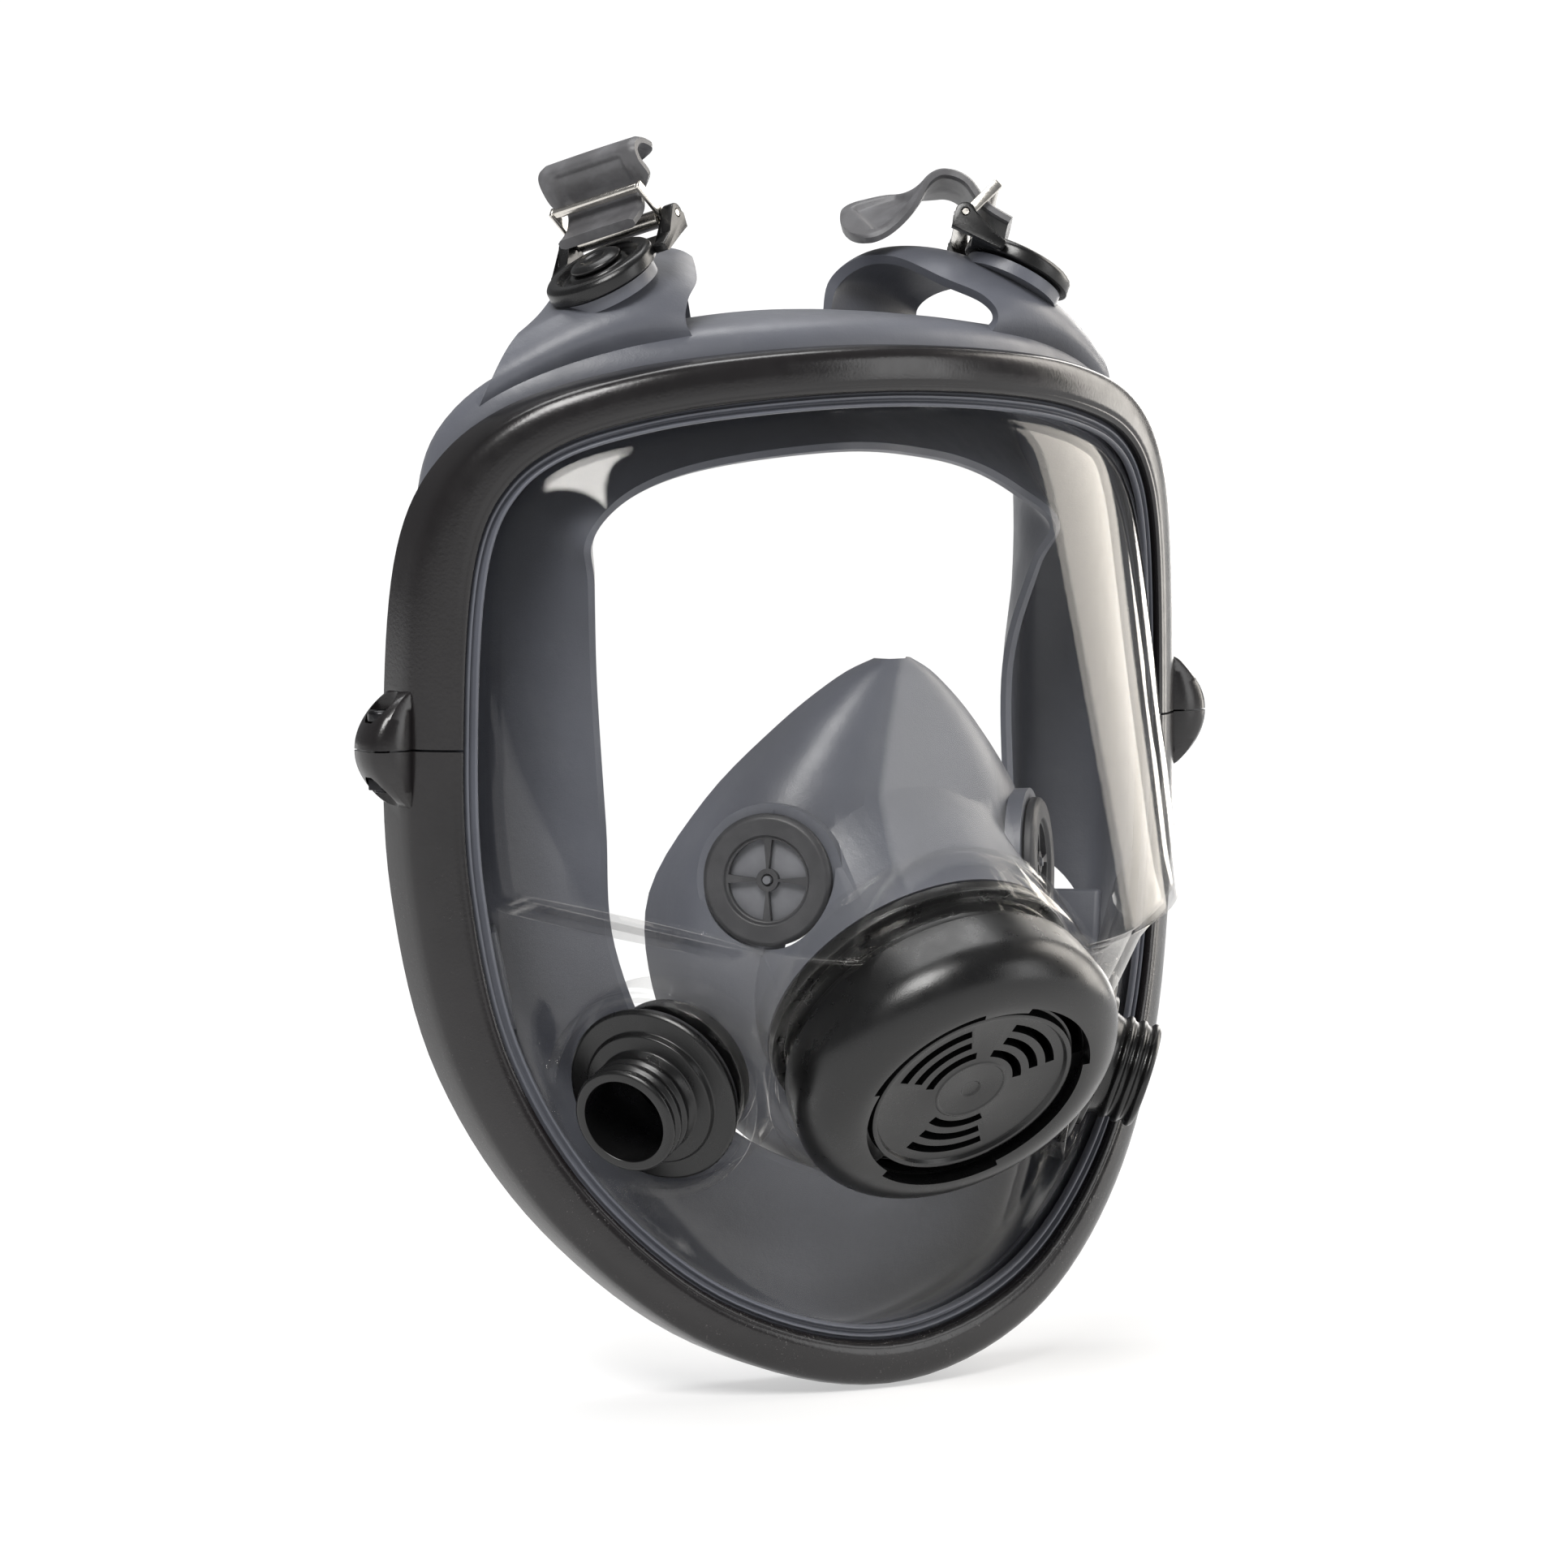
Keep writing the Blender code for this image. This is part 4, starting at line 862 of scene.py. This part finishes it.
def lug(side, facing, back, rows=14, columns=16):
    """The ear for one clamp screw: a rounded bump that fades into the clamp away from the seam."""
    rings = []
    for k in range(rows + 1):
        t = k / rows
        z = SEAM_Z + facing * (0.2 + (LUG_HEIGHT - 0.2) * t)
        out = LUG_END_X + LUG_SWELL * math.cos(math.pi / 2 * t)**0.7
        depth = LUG_HALF_DEPTH * (1 - 0.25 * t * t)
        ring = []
        for c in range(columns):
            a = 2 * math.pi * c / columns
            across = math.copysign(abs(math.cos(a))**0.6, math.cos(a))
            along_y = math.copysign(abs(math.sin(a))**0.6, math.sin(a))
            x = (LUG_FOOT_X + out) / 2 + (out - LUG_FOOT_X) / 2 * across
            ring.append((side * x, back + depth * along_y, z))
        rings.append(ring)
    return loft(rings)


def clamp_fasteners():
    """The blackened screw and nut through each pair of lugs."""
    seat = SCREW_SEAT
    for side_name, side in SIDES.items():
        place = Matrix.Translation((side * SCREW_X, wrap(LUG_FOOT_X) + LUG_BACK, SEAM_Z))
        head = [(0, seat + 2.4), (2.5, seat + 2.4), (3, seat + 1.8), (3, seat), (1.6, seat), (1.6, -seat - 3),
                (0, -seat - 3)]
        screw = turned_solid("clamp_screw_" + side_name, head, place, 0.25, 48)
        slots = []
        for angle in (0.5, 0.5 + math.pi / 2):
            slot = bevelled_box((-2, -0.4, seat + 1.4), (2, 0.4, seat + 4), 0.05, 1)
            slots.append(solid("slot", slot, place @ Matrix.Rotation(angle, 4, "Z")))
        finish_piece(combine(screw, slots), "clamp_screw_" + side_name, "black_steel")
        nut = [(3.2, -seat), (3.2, -seat - 2.4), (1.9, -seat - 2.4), (1.9, -seat)]
        turned("clamp_nut_" + side_name, nut, "black_steel", place, 0.3, 6)


def seal_ring(curve):
    """The bead and the wall as one closed ring."""
    rims = ring_curve(SEAL_RIM)
    openings = ring_curve(FACE_OPENING)
    front = rounded(BEAD_FRONT, 0.3, 2)
    grid = [wall_path(curve, i, rims[i], openings[i]) for i in range(len(curve))]
    inner = offset_grid(grid, WALL_THICKNESS / 2, closed=True)
    outer = offset_grid(grid, -WALL_THICKNESS / 2, closed=True)
    rings = []
    for i in range(len(curve)):
        before = [outline_point(curve, i, n, y) for n, y in front]
        back = [outline_point(curve, i, n, y) for n, y in BEAD_BACK]
        lip = [outer[i][-1].lerp(inner[i][-1], 0.5) + (grid[i][-1] - grid[i][-2]).normalized() * 0.9]
        rings.append(before + outer[i] + lip + inner[i][::-1] + back)
    return loft(rings, closed=True)


def face_seal(curve):
    """The soft body: lens bead, wall, sealing lip, temple arches and the lower strap tabs, in one piece."""
    seal = solid(look_name("face_seal"), seal_ring(curve))
    seats = []
    added = []
    for side in SIDES.values():
        arch = shell(arch_rows(side, ARCH_ACROSS, ARCH_BETWEEN), -WALL_THICKNESS * side)
        added.append(solid("arch", arch))
        tab_frame = buckle_place(LOWER_BUCKLE, side)
        added.append(solid("tab", bevelled_box((-11, -34, -2.4), (11, 9, 0), 1), tab_frame))
        top_frame = buckle_place(UPPER_BUCKLE, side)
        added.append(solid("pad", cylinder(11, -2.6, 0, 64), top_frame))
        for place in (top_frame, tab_frame):
            seats.append(solid("seat", cylinder(23.5, 0, 14, 72), place))
    combine(seal, added, "UNION", "MANIFOLD")
    combine(seal, seats, solver="MANIFOLD")
    room = loft([section_ring(CLAMP_ROOM, curve, i) for i in range(len(curve))], closed=True)
    combine(seal, [solid("room", room)], solver="MANIFOLD")
    return finish_piece(seal, "face_seal", "seal_silicone", 50)


def visor_lens(curve):
    """The one-piece lens, with a seat moulded in for the exhalation unit and one for each inlet."""
    lens = solid(look_name("visor_lens"), lens_shell(curve))
    added = [solid("boss", slanted(*UNIT_BOSS, 96), unit_frame() @ Matrix.Translation((0, BOSS_SHIFT, 0)))]
    cuts = [(unit_frame(), cut) for cut in ((32.1, -60, 20), (33.4, SEAT_LEVEL, 20),
                                            (37.1, SEAT_LEVEL + 2.7, 20), (34.9, -60, SEAT_LEVEL - 4))]
    for side in SIDES.values():
        radius, low, high, *slopes = PORT_PAD
        pad = slanted(radius, low, high, *[(x * side, y) for x, y in slopes], 80)
        added.append(solid("pad", pad, port_frame(side)))
        cuts += [(port_frame(side), cut) for cut in ((13, -40, 20), (21, -3, 20), (17, -40, -8.2))]
    combine(lens, added, "UNION", "MANIFOLD")
    tools = [solid("cut", cylinder(radius, low, high, 92 + k % 3), place)
             for k, (place, (radius, low, high)) in enumerate(cuts)]
    combine(lens, tools, solver="MANIFOLD")
    return finish_piece(lens, "visor_lens", "clear_lens", 28)


def front_cover(place):
    """The ring-shaped cover with its pierced middle, a fine ridge on its face and a dimple at its centre."""
    g = GRILLE_LEVEL
    profile = [(0, g - 0.4), (1.9, g - 0.4), (2.3, g), (7.4, g), (7.6, g + 0.2), (8, g + 0.2), (8.2, g),
               (21.4, g), (21.8, g + 0.9), (22.9, g + 0.9), (23.3, g - 1.2), (26.8, g - 1.2)]
    crest = [(26.9 + 9.6 * math.sin(a), 1.4 + 9.8 * math.cos(a)) for a in
             [math.radians(-12 + 112 * k / 24) for k in range(25)]]
    skirt = [(35.6, -6), (35, -8.4), (33.6, -8.4)]
    inside = [(34, 0), (31.6, 6), (26.9, g - 3.4), (0, g - 3.4)]
    face = rounded(profile, 0.18, 2)[:-3] + [profile[-1]]
    cover = solid(look_name("front_cover"), lathe(face + crest + skirt + inside, TURN_STEPS), place)
    slots = []
    for middle in SECTOR_ANGLES:
        for inner, outer in SECTOR_RINGS:
            spread = SECTOR_SPREAD + 6 * (outer < 15)
            slots.append((inner, outer, middle - spread, middle + spread))
        slots.append((*OUTER_SLOT, middle - 33, middle + 33))
    finish_piece(pierce(cover, slots, -2, 14, place), "front_cover", "black_plastic", 30)


def exhalation_unit():
    """The housing through the lens and what it holds, from the nose cup out to the cover."""
    place = unit_frame()
    housing = [(31.4, 1.6), (31.4, -9), (33, -9), (33, -11.3), (31.4, -11.3), (31.4, -23), (28.6, -23),
               (28.6, -13), (27, -13), (27, -11.5), (28.6, -11.5), (28.6, 1.6)]
    turned("exhalation_housing", housing, "black_plastic", place)
    turned("housing_nut", [(31.7, -16), (34.4, -16), (34.4, -18.6), (31.7, -18.6)], "black_plastic", place)
    seat = [(2, -9.2), (15.4, -9.2), (15.4, -8.2), (17.4, -8.2), (17.4, -9.2), (28.3, -9.2), (28.3, -11.2),
            (2, -11.2)]
    seat = turned_solid("exhalation_valve_seat", seat, place, 0.2)
    pierce(seat, sectors(5.5, 14.2, 6, 6), -13, -5, place, 10)
    finish_piece(seat, "exhalation_valve_seat", "black_plastic")
    flap = [(0, -6.4), (2.4, -6.8), (18.6, -6.8), (18.6, -7.9), (1.6, -7.9), (1.6, -12.4), (0, -12.4)]
    turned("exhalation_flap", flap, "flap_silicone", place, 0.2)
    frame_ring = [(17.6, -1.2), (17.6, -3), (19.2, -3), (19.2, 0.9), (17.6, 0.9), (17.6, 0.1), (18.3, 0.1),
                  (18.3, -1.2)]
    ring = turned_solid("speech_frame", frame_ring, place, 0.15)
    legs = [solid("leg", bevelled_box((18.6, -2, -2.8), (28.2, 2, -0.8), 0.3, 2),
                  place @ Matrix.Rotation(math.radians(120 * k + 80), 4, "Z")) for k in range(3)]
    finish_piece(combine(ring, legs, "UNION"), "speech_frame", "black_plastic")
    rise = [(17.9 * (1 - k / 16), -0.2 - 0.9 * (1 - (1 - k / 16)**2) - 0.12 * math.sin(k * 1.6))
            for k in range(17)]
    film = rise[:-1] + [(0, rise[-1][1]), (0, rise[-1][1] - 0.5)] + [(r, h - 0.5) for r, h in rise[:-1][::-1]]
    obj = solid(look_name("speech_diaphragm"), lathe(film, TURN_STEPS), place)
    finish_piece(obj, "speech_diaphragm", "black_plastic")
    front_cover(place)


def inlet(side_name, side):
    """One cartridge inlet: threaded connector, gasket, nut, and the valve behind it."""
    place = port_frame(side)
    thread = []
    height = TUBE_LENGTH
    while height > THREAD_END:
        thread += [(TUBE_RADIUS, height - 0.6), (TUBE_RADIUS, height - 1.4), (TUBE_RADIUS - 0.8, height - 2),
                   (TUBE_RADIUS - 0.8, height - 2.8)]
        height -= THREAD_PITCH
    profile = [(TUBE_BORE, TUBE_LENGTH), (TUBE_RADIUS - 0.6, TUBE_LENGTH), *thread, (TUBE_RADIUS, 2.8),
               (14.6, 2.4), (15, 0.9), (PORT_FLANGE_RADIUS - 0.6, 0.7), (PORT_FLANGE_RADIUS, 0),
               (PORT_FLANGE_RADIUS, -1), (12.6, -1), (12.6, -13.2), (10.6, -13.2), (10.6, -8.6), (TUBE_BORE, -8.6)]
    turned("inlet_connector_" + side_name, profile, "black_plastic", place, 0.3)
    gasket = [(13, -1.3), (18.8, -1.3), (18.8, -2.7), (13, -2.7)]
    turned("inlet_gasket_" + side_name, gasket, "gasket_rubber", place, 0.5)
    nut = [(13.1, -9), (16.4, -9), (16.4, -12.6), (13.1, -12.6)]
    turned("inlet_nut_" + side_name, nut, "black_plastic", place)
    seat = turned_solid("inhalation_seat_" + side_name, [(1.4, -9), (10.3, -9), (10.3, -10.8), (1.4, -10.8)],
                        place, 0.3)
    pierce(seat, sectors(3, 8, 4, 9), -12, -8, place, 10)
    finish_piece(seat, "inhalation_seat_" + side_name, "black_plastic")
    flap = [(0, -8.4), (1.1, -8.4), (1.1, -11.1), (9.6, -11.1), (9.6, -12), (0, -12)]
    turned("inhalation_flap_" + side_name, flap, "flap_silicone", place, 0.2)


def nose_cup():
    cup = solid(look_name("nose_cup"), shell(cup_rows(), CUP_THICKNESS))
    collar = solid("collar", slanted(34.4, *COLLAR_LEVELS, (0, COLLAR_SLOPE), (0, 0), 80), unit_frame())
    pads = [solid("pad", cylinder(CUP_VALVE_RADIUS + 2, -5, -1.6, 64), cup_valve_frame(side))
            for side in SIDES.values()]
    cuts = [solid("bore", cylinder(31.9, -60, 20, 90), unit_frame()),
            solid("room", cylinder(35.4, -18.95, 20, 84), unit_frame())]
    for side in SIDES.values():
        place = cup_valve_frame(side)
        cuts.append(solid("face", cylinder(CUP_VALVE_RADIUS + 0.6, -1.6, 12, 66), place))
        cuts.append(solid("hole", cylinder(10.8, -20, 12, 60), place))
    combine(cup, [collar, *pads], "UNION", "MANIFOLD")
    combine(cup, cuts, solver="MANIFOLD")
    return finish_piece(cup, "nose_cup", "seal_silicone", 50)


def cup_valve(side_name, side):
    """A check valve in one cheek of the nose cup: a ring with a cross, and the flap behind it."""
    place = cup_valve_frame(side)
    profile = [(1.2, 0.2), (9, 0.2), (9.4, 1.2), (CUP_VALVE_RADIUS - 1, 1.2), (CUP_VALVE_RADIUS, 0.4),
               (CUP_VALVE_RADIUS, -1.2), (10.3, -1.2), (10.3, -6.2), (9.4, -6.2), (9.4, -1.2), (1.2, -1.2)]
    ring = turned_solid("cup_valve_ring_" + side_name, profile, place)
    pierce(ring, sectors(2.4, 8.6, 4, 6), -4, 4, place, 12)
    finish_piece(ring, "cup_valve_ring_" + side_name, "gasket_rubber")
    flap = [(0, 0.8), (0.9, 0.8), (0.9, -1.5), (8.8, -1.5), (8.8, -2.3), (0, -2.3)]
    turned("cup_valve_flap_" + side_name, flap, "flap_silicone", place, 0.2)


def buckle_place(where, side):
    return frame_at(*[mirrored(vector, side) for vector in where])


def ear_plate(x):
    """One ear of a buckle's base: a plate with a rounded eye round the pin, tapered towards the ring."""
    angles = [math.radians(115 - 145 * k / 10) for k in range(11)]
    eye = [(EAR_PIN[0] + EAR_ROUND * math.cos(a), EAR_PIN[1] + EAR_ROUND * math.sin(a)) for a in angles]
    outline_yz = rounded([(4, 0.7), (4, 2.8), (9.5, 3.4)], 0.6) + eye + [(16.2, 0.7)]
    ends = (x - EAR_HALF_THICKNESS, x + EAR_HALF_THICKNESS)
    bm = loft([[(end, y, z) for y, z in outline_yz] for end in ends])
    sides = [edge for edge in bm.edges if len({round(v.co.x, 3) for v in edge.verts}) == 1]
    bmesh.ops.bevel(bm, geom=sides, offset=0.35, segments=2, profile=0.5, affect="EDGES")
    return bm


def buckle(name, where, side):
    """A strap buckle: stud, swivelling base, roller frame that hinges on the base, and roller."""
    place = buckle_place(where, side)
    post = [(0, 5.4), (2, 5.4), (2.6, 5.8), (4.4, 5.8), (5.8, 5), (5.8, 4.2), (3.6, 4.2), (3.6, 0.3),
            (0, 0.3)]
    turned(name + "_stud", post, "black_plastic", place, 0.4, 64)
    profile = [(3.9, 3.8), (6.4, 3.8), (7, 2.8), (8.6, 2.8), (9.4, 4.2), (11.4, 4.2), (12.3, 3.2),
               (12.3, 0.6), (3.9, 0.6)]
    base = turned_solid(name + "_base", profile, place, 0.5)
    arms = [solid("ear", ear_plate(hand * EAR_X), place) for hand in (-1, 1)]
    arms.append(solid("bridge", bevelled_box((-13, 5, 0.7), (13, 11.4, 2.6), 0.4), place))
    combine(base, arms, "UNION")
    pivot = place @ Matrix.Translation((0, *EAR_PIN)) @ Matrix.Rotation(math.radians(FRAME_LEAN), 4, "X")
    crosswise = pivot @ Matrix.Rotation(math.pi / 2, 4, "Y")
    combine(base, [solid("pin_hole", cylinder(1.0, -20, 20, 32), crosswise)])
    finish_piece(base, name + "_base", "black_plastic")
    bars = solid(look_name(name + "_frame"), bevelled_box((-11, -0.9, 8.6), (11, 0.9, 10.6), 0.7, 4), pivot)
    arms = [solid("arm", bevelled_box((x - 0.5, -1.2, -1.2), (x + 0.5, 1.2, 10.6), 0.35), pivot)
            for x in (-11, 11)]
    combine(bars, arms + [solid("pin", cylinder(0.7, -14.6, 14.6, 32), crosswise)], "UNION")
    finish_piece(bars, name + "_frame", "steel")
    turned(name + "_roller", [(1.1, 10.2), (2, 10.2), (2, -10.2), (1.1, -10.2)], "steel", crosswise, 0.3, 48)


def strap(node, side, path, recess, twist=0):
    """The free end of a strap: a moulded ribbon with a raised border, which widens into a rounded pull tab.

    recess is the stretch of the tab, from 0 to 1 along the whole strap, that is sunk inside its border."""
    place = buckle_place(UPPER_BUCKLE, side)
    keys = [Vector(p) for p in path]
    line = []
    for k in range(len(keys) - 1):
        line += [catmull(*four_at(keys, k), s / STRAP_STEPS) for s in range(STRAP_STEPS)]
    line.append(keys[-1])
    lengths = [0]
    for a, b in zip(line, line[1:]):
        lengths.append(lengths[-1] + (b - a).xy.length)
    total = lengths[-1]
    rings = []
    for k, point in enumerate(line):
        before = line[max(k - 1, 0)]
        after = line[min(k + 1, len(line) - 1)]
        along_strap = (after - before).xy.normalized()
        out = Vector((-along_strap.y, along_strap.x))
        left_over = total - lengths[k]
        tip = math.sqrt(max(0.02, 1 - max(0, 1 - left_over / TAB_ROUND)**2))
        half = point.z * tip
        t = lengths[k] / total
        inside = smooth_step(recess[0], recess[0] + 0.04, t)
        inside *= 1 - smooth_step(recess[1] - 0.04, recess[1], t)
        turn = math.radians(twist) * smooth_step(0.4, 0.8, k / (len(line) - 1))
        up = Vector((0, out.x, out.y))
        wide = Vector((1, 0, 0)) * math.cos(turn) + up * math.sin(turn)
        thick = up * math.cos(turn) - Vector((1, 0, 0)) * math.sin(turn)
        middle = Vector((0, point.x, point.y))
        front = []
        back = []
        for c in range(STRAP_ACROSS + 1):
            across = -1 + 2 * c / STRAP_ACROSS
            edge = 1 - smooth_step(0.9, 1, abs(across)) * 0.45
            sunk = inside * (1 - smooth_step(0.62, 0.74, abs(across))) * RECESS_DEPTH
            crown = 0.12 * (1 - across**2)
            top = STRAP_THICKNESS / 2 * edge - sunk + crown * (1 - inside)
            low = -STRAP_THICKNESS / 2 * edge
            front.append(middle + wide * half * across + thick * top)
            back.append(middle + wide * half * across + thick * low)
        rings.append(front + back[::-1])
    obj = solid(look_name(node), loft(rings), place)
    return finish_piece(obj, node, "strap_rubber", 50)


def floor():
    """A pale floor under the object, which fades into the pale surroundings away from it."""
    bm = bmesh.new()
    bmesh.ops.create_grid(bm, x_segments=8, y_segments=8, size=FLOOR_HALF)
    made = linked("floor", mesh_of("floor", bm))
    made.location.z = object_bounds()[0].z - FLOOR_GAP
    n = Nodes("floor")
    spot = n.add("ShaderNodeVectorMath", Vector=n.place)
    spot.operation = "LENGTH"
    fade = n.spread(spot.outputs["Value"], *FLOOR_FADE, FLOOR_GLOW)
    n.set(Base_Color=(0.9, 0.9, 0.9), Roughness=0.9)
    glow = n.add("ShaderNodeEmission", Strength=WHITE_GLOW)
    mix = n.add("ShaderNodeMixShader", Fac=fade)
    n.feed(mix.inputs[1], n.shader.outputs[0])
    n.feed(mix.inputs[2], glow.outputs[0])
    n.feed(n.output.inputs["Surface"], mix.outputs[0])
    made.data.materials.append(n.material)
    made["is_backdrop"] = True


def softbox(name, place, width, height, watts, tint):
    light = bpy.data.lights.new(name, "AREA")
    light.shape = "RECTANGLE"
    light.size = width
    light.size_y = height
    light.energy = watts
    light.color = tint
    made = linked(name, light)
    made.location = place
    made.rotation_euler = (Vector(LIGHTS_AIM) - Vector(place)).to_track_quat("-Z", "Y").to_euler()


def studio():
    """Broad soft lights in white surroundings that are dim in reflections."""
    for light in LIGHTS:
        softbox(*light)
    world = bpy.data.worlds.new("studio")
    bpy.context.scene.world = world
    world.use_nodes = True
    nodes = world.node_tree.nodes
    links = world.node_tree.links
    seen = nodes["Background"]
    seen.inputs["Color"].default_value = (1, 1, 1, 1)
    seen.inputs["Strength"].default_value = WHITE_GLOW
    dim = nodes.new("ShaderNodeBackground")
    dim.inputs["Color"].default_value = (0.97, 0.98, 1, 1)
    dim.inputs["Strength"].default_value = DIM_WORLD
    ray = nodes.new("ShaderNodeLightPath")
    mix = nodes.new("ShaderNodeMixShader")
    links.new(ray.outputs["Is Camera Ray"], mix.inputs["Fac"])
    links.new(dim.outputs[0], mix.inputs[1])
    links.new(seen.outputs[0], mix.inputs[2])
    links.new(mix.outputs[0], nodes["World Output"].inputs["Surface"])
    bpy.context.scene.view_settings.view_transform = "Standard"


def camera():
    """A long lens from the left of the front, a little above the object, level and unshifted."""
    data = bpy.data.cameras.new("camera")
    data.lens = CAMERA_LENS
    made = linked("camera", data)
    made.location = CAMERA_PLACE
    made.rotation_euler = Vector(CAMERA_DIRECTION).to_track_quat("-Z", "Y").to_euler()
    bpy.context.scene.camera = made


BODIES = frame["record"]["behaviour"]["bodies"]
BODY_OF = {node: body for body, members in BODIES.items() for node in members}
DETAILED = (seal_silicone, clear_lens, clamp_plastic, black_plastic, steel)
MATERIALS = {make.__name__: make() for make in DETAILED}
MATERIALS.update({plain[0]: mottled(*plain) for plain in MOTTLED})

camera()
studio()
floor()
outline = ring_curve(OUTLINE)
clamp_half("upper_lens_clamp", outline, upper=True)
clamp_half("lower_lens_clamp", outline, upper=False)
clamp_fasteners()
visor_lens(outline)
face_seal(outline)
exhalation_unit()
nose_cup()
for side_name, side in SIDES.items():
    inlet(side_name, side)
    cup_valve(side_name, side)
    buckle("upper_buckle_" + side_name, UPPER_BUCKLE, side)
    buckle("lower_buckle_" + side_name, LOWER_BUCKLE, side)
strap("upper_strap_right", 1, RIGHT_STRAP, (0.62, 0.9), RIGHT_STRAP_TWIST)
strap("upper_strap_left", -1, LEFT_STRAP, (0.34, 0.62))
